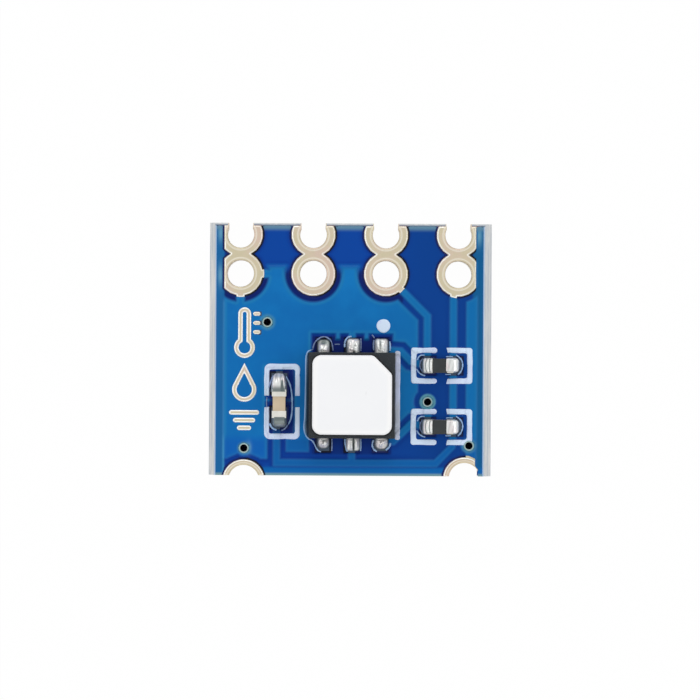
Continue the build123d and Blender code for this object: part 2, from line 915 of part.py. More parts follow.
for row, direction, numbers in ((head_row, 1, (3, 2, 1)), (foot_row, -1, (4, 5, 6))):
    for x, number in zip(lead_x, numbers):
        joint = solder_joint(
            (x, row),
            (0, direction, 0),
            sensor_land_tuck,
            sensor_land_reach,
            lead_solder_rise,
            sensor_land_width,
            full_fillet,
        )
        write_joint(joint, f"solder_lead_{number}")

with BuildPart() as solder_die_pad:
    box_on(foil_top, sensor_place, die_pad_width, die_pad_length, solder_film)
write_joint(solder_die_pad.part, "solder_die_pad")

# Resistors: a ceramic bar, its dark coat and its two metal ends
for number, y in enumerate(resistor_rows, 1):
    x = resistor_x + resistor_shift
    with BuildPart() as substrate:
        box_on(
            chip_bottom + cap_wall,
            [(x, y)],
            chip_length - 2 * cap_wall,
            chip_width,
            resistor_height - 2 * cap_wall,
        )
    substrate.part.label = f"resistor_{number}_substrate"
    export_step(substrate.part, f"parts/resistor_{number}_substrate.step")

    with BuildPart() as coating:
        level = chip_bottom + resistor_height - cap_wall
        box_on(level, [(x, y)], chip_length - 2 * chip_cap, chip_width, coat)
    coating.part.label = f"resistor_{number}_coat"
    export_step(coating.part, f"parts/resistor_{number}_coat.step")

    with BuildPart() as ends:
        shift = (chip_length - chip_cap) / 2
        box_on(chip_bottom, [(x - shift, y), (x + shift, y)], chip_cap, chip_width, resistor_height)
        add(substrate.part, mode=Mode.SUBTRACT)
    ends.part.label = f"resistor_{number}_ends"
    export_step(ends.part, f"parts/resistor_{number}_ends.step")

    for side, word in ((-1, "left"), (1, "right")):
        end = x + side * chip_length / 2
        land_end = resistor_x + side * (resistor_land_x + resistor_land_length / 2)
        tuck = min(chip_cap, (chip_length - chip_land_gap) / 2 + side * resistor_shift)
        joint = solder_joint(
            (end, y),
            (side, 0, 0),
            tuck,
            abs(land_end - end),
            resistor_solder_rise,
            chip_land_width,
            hollow_fillet,
        )
        write_joint(joint, f"solder_resistor_{number}_{word}")

# Capacitor: a ceramic block with a metal cap on each end
x, y = capacitor_x, capacitor_y + capacitor_shift
with BuildPart() as capacitor_body:
    box_on(
        chip_bottom + cap_wall,
        [(x, y)],
        chip_width - 2 * cap_wall,
        chip_length - 2 * cap_wall,
        capacitor_height - 2 * cap_wall,
    )
capacitor_body.part.label = "capacitor_body"
export_step(capacitor_body.part, "parts/capacitor_body.step")

with BuildPart() as capacitor_ends:
    shift = (chip_length - chip_cap) / 2
    box_on(chip_bottom, [(x, y - shift), (x, y + shift)], chip_width, chip_cap, capacitor_height)
    add(capacitor_body.part, mode=Mode.SUBTRACT)
capacitor_ends.part.label = "capacitor_ends"
export_step(capacitor_ends.part, "parts/capacitor_ends.step")

for side, word in ((-1, "foot"), (1, "head")):
    end = y + side * chip_length / 2
    land_end = capacitor_y + side * (capacitor_land_y + capacitor_land_length / 2)
    joint = solder_joint(
        (x, end),
        (0, side, 0),
        chip_cap,
        abs(land_end - end),
        capacitor_solder_rise,
        chip_land_width,
        hollow_fillet,
    )
    write_joint(joint, f"solder_capacitor_{word}")
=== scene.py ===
import json
import bmesh
import bpy
import numpy as np
from math import pi, radians
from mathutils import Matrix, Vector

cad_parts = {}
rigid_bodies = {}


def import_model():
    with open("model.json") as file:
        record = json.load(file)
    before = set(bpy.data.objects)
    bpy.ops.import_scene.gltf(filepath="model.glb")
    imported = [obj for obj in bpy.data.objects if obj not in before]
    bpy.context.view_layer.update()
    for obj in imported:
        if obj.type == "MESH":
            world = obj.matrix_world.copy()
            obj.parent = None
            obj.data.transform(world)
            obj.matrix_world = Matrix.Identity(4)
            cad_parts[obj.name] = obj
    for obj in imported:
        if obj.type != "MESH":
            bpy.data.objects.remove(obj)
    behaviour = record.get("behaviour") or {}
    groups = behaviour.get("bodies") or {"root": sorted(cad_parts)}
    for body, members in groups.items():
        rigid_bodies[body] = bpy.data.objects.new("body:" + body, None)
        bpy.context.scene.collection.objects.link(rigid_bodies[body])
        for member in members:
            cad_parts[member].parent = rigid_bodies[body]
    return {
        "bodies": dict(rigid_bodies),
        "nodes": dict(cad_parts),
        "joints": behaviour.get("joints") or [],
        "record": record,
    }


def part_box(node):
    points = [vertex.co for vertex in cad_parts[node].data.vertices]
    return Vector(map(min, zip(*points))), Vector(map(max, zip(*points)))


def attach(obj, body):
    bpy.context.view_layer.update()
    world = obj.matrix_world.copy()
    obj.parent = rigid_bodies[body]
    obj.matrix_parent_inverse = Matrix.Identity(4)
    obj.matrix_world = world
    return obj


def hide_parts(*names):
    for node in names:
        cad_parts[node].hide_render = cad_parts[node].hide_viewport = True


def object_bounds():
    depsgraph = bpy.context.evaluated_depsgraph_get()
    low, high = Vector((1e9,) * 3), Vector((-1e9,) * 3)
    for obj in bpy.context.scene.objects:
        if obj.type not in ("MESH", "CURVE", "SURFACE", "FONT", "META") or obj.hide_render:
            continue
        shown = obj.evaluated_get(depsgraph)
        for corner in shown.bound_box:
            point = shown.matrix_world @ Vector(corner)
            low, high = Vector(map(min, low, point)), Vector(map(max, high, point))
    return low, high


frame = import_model()
nodes = frame["nodes"]
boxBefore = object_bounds()
mm = 0.001

# The photograph: straight down on the component side, with the board turned by a third of a degree
view = {
    "pixels": 700,
    "pixelsPerMm": 28.594,
    "boardAt": (350.3, 349.5),  # the board's middle, in pixels from the top left corner
    "turn": 0.0058,
    "lens": 300.0,
    "sensor": 36.0,
}
light = {
    "fill": 0.55,
    "shine": 0.75,  # of the room, as glossy rays see it
    "side": 0.62,
    "sides": ((0, 1.0), (90, 1.25), (180, 1.0), (270, 0.75)),  # each side lamp's azimuth and share
    "reach": 60.0,
    "rise": 42.0,
    "size": 46.0,
    "floor": 400.0,
    "floorDrop": 0.01,
    "paper": 0.9,
    "page": 0.985,  # share of plain white in what the camera sees of the floor
}


# Small helpers
def tone(red, green, blue):
    # An 8-bit screen colour as the linear colour that a shader takes
    share = np.array([red, green, blue]) / 255
    linear = np.where(share <= 0.04045, share / 12.92, ((share + 0.055) / 1.055) ** 2.4)
    return (*(float(c) for c in linear), 1.0)


def smooth(low, high, x):
    # 0 under low, 1 over high, and an S curve between them
    t = np.clip((x - low) / (high - low), 0, 1)
    return t * t * (3 - 2 * t)


def ripple(x, y, size, seed):
    # A smooth random field from -1 to 1: a few crossed sine waves about one size apart
    draw = np.random.default_rng(seed)
    total = np.zeros_like(x)
    for _ in range(7):
        angle, phase = draw.uniform(0, 2 * pi, 2)
        wave = 2 * pi / (size * draw.uniform(0.7, 1.6))
        total += np.sin(wave * (x * np.cos(angle) + y * np.sin(angle)) + phase)
    return total / 3.5


def rollOver(gap, reach):
    # A quarter circle: 0 at a rim, and 1 from the reach inwards
    return np.sqrt(1 - (1 - np.clip(gap / reach, 0, 1)) ** 2)


# Node-tree helpers
def addNode(tree, kind, values=None, **settings):
    node = tree.nodes.new(kind)
    for key, value in settings.items():
        setattr(node, key, value)
    for key, value in (values or {}).items():
        if isinstance(value, bpy.types.NodeSocket):
            tree.links.new(value, node.inputs[key])
        else:
            node.inputs[key].default_value = value
    return node


def mathNode(tree, operation, *values):
    return addNode(tree, "ShaderNodeMath", dict(enumerate(values)), operation=operation).outputs[0]


def mixColour(tree, factor, first, second):
    return addNode(tree, "ShaderNodeMix", {0: factor, 6: first, 7: second}, data_type="RGBA").outputs[2]


def spread(tree, value, low, high, start=0.0, end=1.0):
    # A value's stretch from low to high, mapped to start and end with soft ends
    values = {"Value": value, "From Min": low, "From Max": high, "To Min": start, "To Max": end}
    return addNode(tree, "ShaderNodeMapRange", values, interpolation_type="SMOOTHSTEP").outputs[0]


def attribute(tree, name):
    return addNode(tree, "ShaderNodeAttribute", attribute_name=name).outputs["Fac"]


def layered(tree, base, look, layers):
    # Colours laid over the base one by one, each as far as its mark on the mesh says
    for mark, colour in layers:
        base = mixColour(tree, attribute(tree, mark), base, look[colour])
    return base


def makeGroup(name, inputs, outputs):
    group = bpy.data.node_groups.new(name, "ShaderNodeTree")
    for label, kind, value in inputs:
        group.interface.new_socket(label, in_out="INPUT", socket_type=kind).default_value = value
    for label, kind in outputs:
        group.interface.new_socket(label, in_out="OUTPUT", socket_type=kind)
    return group, group.nodes.new("NodeGroupInput").outputs, group.nodes.new("NodeGroupOutput").inputs


def useGroup(tree, group, values):
    return addNode(tree, "ShaderNodeGroup", values, node_tree=group).outputs


def makeMottle():
    # Two sizes of cloud in one colour, and fine dust specks, on Object coordinates
    inputs = [
        ("Color", "NodeSocketColor", (0.5, 0.5, 0.5, 1)),
        ("Scale", "NodeSocketFloat", 1000.0),
        ("Amount", "NodeSocketFloat", 0.1),
        ("Dust", "NodeSocketFloat", 0.0),
    ]
    outputs = [("Color", "NodeSocketColor"), ("Cloud", "NodeSocketFloat")]
    group, given, out = makeGroup("Mottle", inputs, outputs)
    place = addNode(group, "ShaderNodeTexCoord").outputs["Object"]
    broad = addNode(group, "ShaderNodeTexNoise", {"Vector": place, "Scale": given["Scale"], "Detail": 3.0})
    fineScale = mathNode(group, "MULTIPLY", given["Scale"], 7.0)
    fine = addNode(group, "ShaderNodeTexNoise", {"Vector": place, "Scale": fineScale, "Detail": 2.0})
    cloud = mathNode(group, "MULTIPLY_ADD", fine.outputs[0], 0.35, broad.outputs[0])
    level = mathNode(group, "SUBTRACT", cloud, 0.675)
    gain = mathNode(group, "MULTIPLY_ADD", level, given["Amount"], 1.0)
    shade = addNode(group, "ShaderNodeVectorMath", {0: given["Color"], "Scale": gain}, operation="SCALE")
    speckScale = mathNode(group, "MULTIPLY", given["Scale"], 24.0)
    speck = addNode(group, "ShaderNodeTexVoronoi", {"Vector": place, "Scale": speckScale})
    spot = mathNode(group, "LESS_THAN", speck.outputs["Distance"], 0.1)
    dusty = mathNode(group, "MULTIPLY", spot, given["Dust"])
    dusted = mixColour(group, dusty, shade.outputs[0], (0.75, 0.75, 0.72, 1))
    group.links.new(dusted, out["Color"])
    group.links.new(cloud, out["Cloud"])
    return group


def makeGrain():
    # Heights for a Bump node: fine grain and longer waves
    inputs = [
        ("Scale", "NodeSocketFloat", 6000.0),
        ("Waves", "NodeSocketFloat", 0.5),
    ]
    group, given, out = makeGroup("Grain", inputs, [("Height", "NodeSocketFloat")])
    place = addNode(group, "ShaderNodeTexCoord").outputs["Object"]
    grain = addNode(group, "ShaderNodeTexNoise", {"Vector": place, "Scale": given["Scale"], "Detail": 4.0})
    slow = mathNode(group, "MULTIPLY", given["Scale"], 0.12)
    wave = addNode(group, "ShaderNodeTexNoise", {"Vector": place, "Scale": slow, "Detail": 1.0})
    height = mathNode(group, "MULTIPLY_ADD", wave.outputs[0], given["Waves"], grain.outputs[0])
    group.links.new(height, out["Height"])
    return group


mottle, grain = makeMottle(), makeGrain()


def makeMaterial(name, colour, roughness, metallic=0.0, specular=0.5, bump=None):
    # A Principled surface. colour adds its nodes to the tree and gives a socket. bump is the
    # grain's scale, the share of longer waves, and the depth in millimetres
    material = bpy.data.materials.new(name)
    material.use_nodes = True
    tree = material.node_tree
    shader = tree.nodes["Principled BSDF"]
    shader.inputs["Roughness"].default_value = roughness
    shader.inputs["Metallic"].default_value = metallic
    shader.inputs["Specular IOR Level"].default_value = specular
    tree.links.new(colour(tree), shader.inputs["Base Color"])
    if bump:
        scale, waves, depth = bump
        height = useGroup(tree, grain, {"Scale": scale, "Waves": waves})["Height"]
        values = {"Height": height, "Distance": depth * mm, "Strength": 1.0}
        tree.links.new(addNode(tree, "ShaderNodeBump", values).outputs[0], shader.inputs["Normal"])
    return material


def clouded(colour, scale, amount, dust=0.0):
    values = {"Color": colour, "Scale": scale, "Amount": amount, "Dust": dust}
    return lambda tree: useGroup(tree, mottle, values)["Color"]


def atPixel(points):
    # Places on the board's top, in millimetres, of pixels of the photograph
    away = np.asarray(points, float) - view["boardAt"]
    across = (away[:, 0] + view["turn"] * away[:, 1]) / view["pixelsPerMm"]
    up = (view["turn"] * away[:, 0] - away[:, 1]) / view["pixelsPerMm"]
    return np.column_stack([across, up])


def pixelBox(box):
    # The low and the high corner, in millimetres, of a box between two pixels
    corners = atPixel([box[:2], box[2:]])
    return corners.min(0), corners.max(0)


def smoothPath(points, rounds):
    # Cuts the corners: each round puts two points on every side, at a quarter and three quarters
    for _ in range(rounds):
        near, far = 0.75 * points[:-1] + 0.25 * points[1:], 0.25 * points[:-1] + 0.75 * points[1:]
        points = np.concatenate([points[:1], np.stack([near, far], 1).reshape(-1, 2), points[-1:]])
    return points


# Outlines: the edges round a CAD node's faces that lie at given heights, seen from above
def trianglesAt(names, heights, tolerance=0.002):
    found = []
    for name in names:
        mesh = nodes[name].data
        place = np.zeros(len(mesh.vertices) * 3, np.float32)
        mesh.vertices.foreach_get("co", place)
        mesh.calc_loop_triangles()
        corners = np.zeros(len(mesh.loop_triangles) * 3, np.int32)
        mesh.loop_triangles.foreach_get("vertices", corners)
        triangles = place.reshape(-1, 3)[corners.reshape(-1, 3)] / mm
        for height in heights:
            level = (abs(triangles[:, :, 2] - height) < tolerance).all(1)
            found.append(triangles[level][:, :, :2])
    return np.concatenate(found)


def outlineOf(names, heights):
    triangles = np.round(trianglesAt(names, heights), 4)
    points, index = np.unique(triangles.reshape(-1, 2), axis=0, return_inverse=True)
    index = index.reshape(-1, 3)
    edges = np.concatenate([index[:, [0, 1]], index[:, [1, 2]], index[:, [2, 0]]])
    edges = edges[edges[:, 0] != edges[:, 1]]
    _, first, count = np.unique(np.sort(edges, 1), axis=0, return_index=True, return_counts=True)
    outer = edges[first[count == 1]]
    return points[outer[:, 0]], points[outer[:, 1]]


def distanceTo(outline, x, y):
    # Distance to the nearest edge of an outline, positive inside it by the even-odd rule
    points = np.column_stack([x, y])
    start, end = outline
    along = end - start
    lengths = (along ** 2).sum(1)
    result = np.empty(len(points))
    for part in np.array_split(np.arange(len(points)), max(1, len(points) * len(start) // 4000000)):
        away = points[part, None] - start
        share = np.clip((away * along).sum(2) / lengths, 0, 1)
        gap = np.sqrt(((away - share[..., None] * along) ** 2).sum(2)).min(1)
        straddles = (start[:, 1] > points[part, 1:2]) != (end[:, 1] > points[part, 1:2])
        rise = np.where(along[:, 1] == 0, 1, along[:, 1])
        crossing = start[:, 0] + (points[part, 1:2] - start[:, 1]) * along[:, 0] / rise
        inside = (straddles & (points[part, :1] < crossing)).sum(1) % 2 == 1
        result[part] = np.where(inside, gap, -gap)
    return result


def setMesh(name, points, faces, material):
    mesh = bpy.data.meshes.new(name)
    mesh.from_pydata((points * mm).tolist(), [], faces)
    mesh.validate()
    mesh.polygons.foreach_set("use_smooth", np.full(len(mesh.polygons), True))
    mesh.materials.append(material)
    piece = bpy.data.objects.new(name, mesh)
    bpy.context.scene.collection.objects.link(piece)
    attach(piece, "root")
    return piece


def setMark(piece, label, values):
    layer = piece.data.attributes.new(label, "FLOAT", "POINT")
    layer.data.foreach_set("value", np.ascontiguousarray(values, np.float32))


def sheet(name, distance, low, high, spacing, height, material, foot, survey=None):
    # A surface over a square grid. Grid points next to the outline move on to it, and cells
    # with a corner outside it are cut or left out. The survey gives each point its marks
    x = np.arange(low[0] - 2 * spacing, high[0] + 3 * spacing, spacing)
    y = np.arange(low[1] - 2 * spacing, high[1] + 3 * spacing, spacing)
    grid = np.stack(np.meshgrid(x, y, indexing="ij"), -1)
    gap = distance(*grid.reshape(-1, 2).T).reshape(grid.shape[:2])
    slopeX, slopeY = np.gradient(gap, spacing)
    steep = np.maximum(np.hypot(slopeX, slopeY), 0.2)
    snap = abs(gap) <= 0.5 * spacing * np.maximum(abs(slopeX), abs(slopeY)) / steep
    shift = np.where(snap, -gap / steep ** 2, 0)
    grid = grid + np.stack([shift * slopeX, shift * slopeY], -1)
    grid = np.clip(grid, np.array(boxBefore[0])[:2] / mm, np.array(boxBefore[1])[:2] / mm)
    gap = np.where(snap, 0, gap)
    kept = (gap > 0) | snap
    index = np.arange(gap.size).reshape(gap.shape)
    corners = np.stack([index[:-1, :-1], index[1:, :-1], index[1:, 1:], index[:-1, 1:]], -1).reshape(-1, 4)
    inside = kept.reshape(-1)[corners]
    deep = (gap.reshape(-1)[corners] > 0).any(1)
    full = corners[inside.all(1) & deep]
    cut = corners[(inside.sum(1) == 3) & deep]
    missing = np.argmin(inside[(inside.sum(1) == 3) & deep], 1)
    wedges = np.take_along_axis(cut, (missing[:, None] + np.array([1, 2, 3])) % 4, 1)
    used, packed = np.unique(np.concatenate([full.ravel(), wedges.ravel()]), return_inverse=True)
    full, wedges = packed[: full.size].reshape(-1, 4), packed[full.size :].reshape(-1, 3)
    flat, gap = grid.reshape(-1, 2)[used], gap.ravel()[used]
    marks = survey(*flat.T) if survey else {}
    points = np.column_stack([flat, height(*flat.T, gap, marks)])

    # sides that only one cell has make the rim, and a wall drops from them to the foot's level
    sides = [
        cells[:, [i, (i + 1) % count]]
        for cells, count in ((full, 4), (wedges, 3))
        for i in range(count)
    ]
    edges = np.concatenate(sides).astype(np.int64)
    codes, back = edges @ (len(points), 1), edges @ (1, len(points))
    rim = edges[~np.isin(codes, back)]
    rimPoints, rimIndex = np.unique(rim, return_inverse=True)
    rimIndex = rimIndex.reshape(rim.shape) + len(points)
    lower = np.column_stack([flat[rimPoints], np.full(len(rimPoints), foot)])
    walls = np.column_stack([rim[:, 1], rim[:, 0], rimIndex[:, 0], rimIndex[:, 1]])
    faces = full.tolist() + wedges.tolist() + walls.tolist()
    piece = setMesh(name, np.concatenate([points, lower]), faces, material)
    for label, values in marks.items():
        setMark(piece, label, np.concatenate([values, values[rimPoints]]))
    return piece


def strokeGap(x, y, ends, width):
    # Depth inside a stroke of that width with round ends, along straight lines between points
    best = np.full(x.shape, -1e9)
    for (x0, y0), (x1, y1) in zip(ends[:-1], ends[1:]):
        length2 = max((x1 - x0) ** 2 + (y1 - y0) ** 2, 1e-12)
        share = np.clip(((x - x0) * (x1 - x0) + (y - y0) * (y1 - y0)) / length2, 0, 1)
        away = np.hypot(x - x0 - share * (x1 - x0), y - y0 - share * (y1 - y0))
        best = np.maximum(best, width / 2 - away)
    return best


def boxGap(x, y, middle, width, length, corner):
    # Depth inside a box with rounded corners
    outX = abs(x - middle[0]) - width / 2 + corner
    outY = abs(y - middle[1]) - length / 2 + corner
    outside = np.hypot(np.maximum(outX, 0), np.maximum(outY, 0))
    return corner - outside - np.minimum(np.maximum(outX, outY), 0)


def ringGap(x, y, middle, radius):
    return radius - np.hypot(x - middle[0], y - middle[1])


def ridge(name, path, width, height, level, material, sides=7):
    # A half-round bead carried along a path, thin at both ends. Its base follows the level below
    path = np.asarray(path, float)
    step = np.gradient(path, axis=0)
    step /= np.linalg.norm(step, axis=1)[:, None]
    side = np.column_stack([-step[:, 1], step[:, 0]])
    run = np.linspace(0, 1, len(path))
    full = np.clip(np.minimum(run, 1 - run) / 0.12, 0.01, 1) ** 0.5
    wobble = 1 + 0.25 * np.sin(run * 37 + len(name)) * np.sin(run * 13 + 1)
    angle = np.linspace(0, pi, sides)
    across = np.cos(angle)[None] * (width / 2 * full * wobble)[:, None]
    rise = np.sin(angle)[None] * (height * full * wobble)[:, None]
    flat = path[:, None] + side[:, None] * across[..., None]
    z = level(flat[..., 0].ravel(), flat[..., 1].ravel()) + rise.ravel()
    points = np.column_stack([flat.reshape(-1, 2), z])
    index = np.arange(len(path) * sides).reshape(-1, sides)
    corners = [index[:-1, 1:], index[:-1, :-1], index[1:, :-1], index[1:, 1:]]
    faces = np.stack(corners, -1).reshape(-1, 4)
    return setMesh(name, points, faces.tolist(), material)


def softCopy(name, width, material, segments=3):
    # A CAD node's mesh with its doubles merged, its flat faces joined and its edges rounded
    piece = bpy.data.objects.new(f"{name}_soft", nodes[name].data.copy())
    bpy.context.scene.collection.objects.link(piece)
    mesh = bmesh.new()
    mesh.from_mesh(piece.data)
    bmesh.ops.remove_doubles(mesh, verts=mesh.verts, dist=0.0005 * mm)
    bmesh.ops.dissolve_limit(mesh, angle_limit=radians(1), verts=mesh.verts, edges=mesh.edges)
    mesh.to_mesh(piece.data)
    mesh.free()
    piece.data.polygons.foreach_set("use_smooth", np.full(len(piece.data.polygons), False))
    piece.data.materials.clear()
    piece.data.materials.append(material)
    bevel = piece.modifiers.new("edges", "BEVEL")
    bevel.width, bevel.segments, bevel.limit_method = width * mm, segments, "ANGLE"
    bevel.angle_limit, bevel.harden_normals = radians(35), False
    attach(piece, "root")
    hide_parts(name)
    return piece


def dress(names, material):
    for name in names:
        nodes[name].data.materials.clear()
        nodes[name].data.materials.append(material)


# Camera, lamps and floor
def buildStage():
    width = view["pixels"] / view["pixelsPerMm"]
    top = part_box("terminal_1")[1].z
    distance = width * view["lens"] / view["sensor"] * mm
    acrossX = (view["pixels"] / 2 - view["boardAt"][0]) / view["pixelsPerMm"] * mm
    acrossY = (view["boardAt"][1] - view["pixels"] / 2) / view["pixelsPerMm"] * mm
    data = bpy.data.cameras.new("camera")
    data.lens, data.sensor_width = view["lens"], view["sensor"]
    data.clip_start, data.clip_end = 0.001, 10
    camera = bpy.data.objects.new("camera", data)
    cosTurn, sinTurn = np.cos(view["turn"]), np.sin(view["turn"])
    place = (acrossX * cosTurn - acrossY * sinTurn, acrossX * sinTurn + acrossY * cosTurn, top + distance)
    camera.location, camera.rotation_euler = place, (0, 0, view["turn"])
    bpy.context.scene.collection.objects.link(camera)
    bpy.context.scene.camera = camera

    reach, rise = light["reach"] * mm, light["rise"] * mm
    away = np.hypot(light["reach"], light["rise"]) * mm
    for i, (azimuth, power) in enumerate(light["sides"]):
        lamp = bpy.data.lights.new(f"softbox{i}", "AREA")
        lamp.shape, lamp.size = "SQUARE", light["size"] * mm
        lamp.energy = light["side"] * power * pi * away ** 2
        body = bpy.data.objects.new(f"softbox{i}", lamp)
        turn = radians(azimuth)
        body.location = (reach * np.cos(turn), reach * np.sin(turn), rise)
        body.rotation_euler = (0, np.arctan2(reach, rise), turn)
        bpy.context.scene.collection.objects.link(body)

    world = bpy.data.worlds.new("studio")
    bpy.context.scene.world = world
    world.use_nodes = True
    tree = world.node_tree
    path = addNode(tree, "ShaderNodeLightPath").outputs
    seen = mathNode(tree, "MAXIMUM", path["Is Camera Ray"], path["Is Transmission Ray"])
    plain = tree.nodes["Background"]
    extra = light["shine"] - light["fill"]
    level = mathNode(tree, "MULTIPLY_ADD", path["Is Glossy Ray"], extra, light["fill"])
    strength = mathNode(tree, "MAXIMUM", seen, level)
    tree.links.new(strength, plain.inputs["Strength"])
    plain.inputs["Color"].default_value = (1, 1, 1, 1)

    half, drop = light["floor"] / 2, -light["floorDrop"]
    corners = np.array([(-half, -half, drop), (half, -half, drop), (half, half, drop), (-half, half, drop)])
    mesh = bpy.data.meshes.new("floor")
    mesh.from_pydata((corners * mm).tolist(), [], [(0, 1, 2, 3)])
    floor = bpy.data.objects.new("floor", mesh)
    bpy.context.scene.collection.objects.link(floor)
    material = bpy.data.materials.new("paper")
    material.use_nodes = True
    tree = material.node_tree
    paper = tree.nodes["Principled BSDF"]
    paper.inputs["Base Color"].default_value = (light["paper"],) * 3 + (1,)
    paper.inputs["Roughness"].default_value = 0.9
    path = addNode(tree, "ShaderNodeLightPath").outputs
    bright = addNode(tree, "ShaderNodeEmission", {"Strength": 1.0})
    seen = mathNode(tree, "MAXIMUM", path["Is Camera Ray"], path["Is Glossy Ray"])
    seen = mathNode(tree, "MAXIMUM", seen, path["Is Transmission Ray"])
    lit = mathNode(tree, "MULTIPLY", seen, light["page"])
    blend = addNode(tree, "ShaderNodeMixShader", {0: lit, 1: paper.outputs[0], 2: bright.outputs[0]})
    # seen from below the floor is clear, so that the board's underside shows
    below = addNode(tree, "ShaderNodeNewGeometry").outputs["Backfacing"]
    clear = addNode(tree, "ShaderNodeBsdfTransparent").outputs[0]
    sided = addNode(tree, "ShaderNodeMixShader", {0: below, 1: blend.outputs[0], 2: clear})
    tree.links.new(sided.outputs[0], tree.nodes["Material Output"].inputs["Surface"])
    mesh.materials.append(material)


bpy.context.scene.view_settings.view_transform = "Standard"
buildStage()
print("stage and camera done")


# Heights and places that the pieces share, in millimetres, read from the CAD nodes
def nodeBox(name):
    low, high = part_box(name)
    return np.array(low) / mm, np.array(high) / mm


coreTop = nodeBox("ground_field_top")[0][2]
foilTop = nodeBox("ground_field_top")[1][2]
maskTop = nodeBox("solder_mask_top")[1][2]
maskFilm = maskTop - foilTop
filmLow, filmHigh = nodeBox("solder_mask_top")
boardLow, boardHigh = nodeBox("laminate_core")
topFoils = [
    "ground_field_top", "ground_strip_top", "supply_track", "data_track",
    "clock_track_top", "lead_3_land", "lead_4_land",
]
terminals = sorted(name for name in nodes if name.startswith("terminal_"))
halfHoles = sorted(name for name in nodes if name.startswith("castellation_"))
vias = sorted(name for name in nodes if name.startswith("via_"))
viaPlaces = [(nodeBox(name)[0][:2] + nodeBox(name)[1][:2]) / 2 for name in vias]

# Drilled holes, and the rings round them: each ring is a band of radii and the true radius in it
header = {"pitch": 2.54, "shift": -0.04, "inset": 1.775, "rows": 1.37, "radius": 0.475}
headerRings = ((0.45, 0.50, 0.475), (0.735, 0.785, 0.755), (0.80, 0.845, 0.827), (0.93, 1.03, 1.0))
halfHoleInsets = {"left": (1.23, 0.185), "right": (0.93, 0.075), "radius": 0.55}
halfHoleRings = ((0.535, 0.565, 0.55), (0.705, 0.75, 0.73), (0.775, 0.81, 0.795), (0.90, 0.96, 0.95))
viaRings = ((0.16, 0.185, 0.18), (0.25, 0.28, 0.27), (0.455, 0.50, 0.495))
headerX = header["shift"] + (np.arange(4) - 1.5) * header["pitch"]
headerY = boardHigh[1] - header["inset"]
headerHoles = [(x, headerY + row) for x in headerX for row in (0, header["rows"])]
halfHolePlaces = [
    (boardLow[0] + halfHoleInsets["left"][0], boardLow[1] - halfHoleInsets["left"][1]),
    (boardHigh[0] - halfHoleInsets["right"][0], boardLow[1] - halfHoleInsets["right"][1]),
]
sideEdge = 4.385  # where the mask covers the rightmost pads


def fromHoles(x, y):
    # Distance to the nearest drilled hole's wall, positive outside the hole
    holes = [(place, header["radius"]) for place in headerHoles]
    holes += [(place, halfHoleInsets["radius"]) for place in halfHolePlaces]
    return np.min([np.hypot(x - place[0], y - place[1]) - radius for place, radius in holes], 0)


def roundOff(outline, centres, rings, pieces=5):
    # Corners of an outline that lie near a ring move on to its circle, and the edges between
    # them become short arcs
    start, end = (np.array(points, float) for points in outline)
    for centre in centres:
        for low, high, radius in rings:
            awayStart, awayEnd = start - centre, end - centre
            reachStart, reachEnd = np.hypot(*awayStart.T), np.hypot(*awayEnd.T)
            nearStart = (reachStart > low) & (reachStart < high)
            nearEnd = (reachEnd > low) & (reachEnd < high)
            start[nearStart] = centre + awayStart[nearStart] * (radius / reachStart[nearStart])[:, None]
            end[nearEnd] = centre + awayEnd[nearEnd] * (radius / reachEnd[nearEnd])[:, None]
            first = np.arctan2(awayStart[:, 1], awayStart[:, 0])
            sweep = np.arctan2(awayEnd[:, 1], awayEnd[:, 0]) - first
            sweep = (sweep + pi) % (2 * pi) - pi
            arcs = nearStart & nearEnd & (abs(sweep) < radians(40))
            angle = first[arcs, None] + sweep[arcs, None] * np.linspace(0, 1, pieces + 1)
            points = centre + radius * np.stack([np.cos(angle), np.sin(angle)], -1)
            start = np.concatenate([start[~arcs], points[:, :-1].reshape(-1, 2)])
            end = np.concatenate([end[~arcs], points[:, 1:].reshape(-1, 2)])
    return start, end


def trueOutline(names, heights):
    outline = roundOff(outlineOf(names, heights), headerHoles, headerRings)
    outline = roundOff(outline, halfHolePlaces, halfHoleRings)
    return roundOff(outline, viaPlaces, viaRings)


copperOutline = trueOutline(topFoils + terminals + halfHoles, [foilTop])
fieldOutline = trueOutline(["ground_field_top"], [foilTop])
padOutline = trueOutline(terminals + halfHoles, [foilTop])
maskOutline = trueOutline(["solder_mask_top"], [maskTop, coreTop + maskFilm])
print("outlines done")


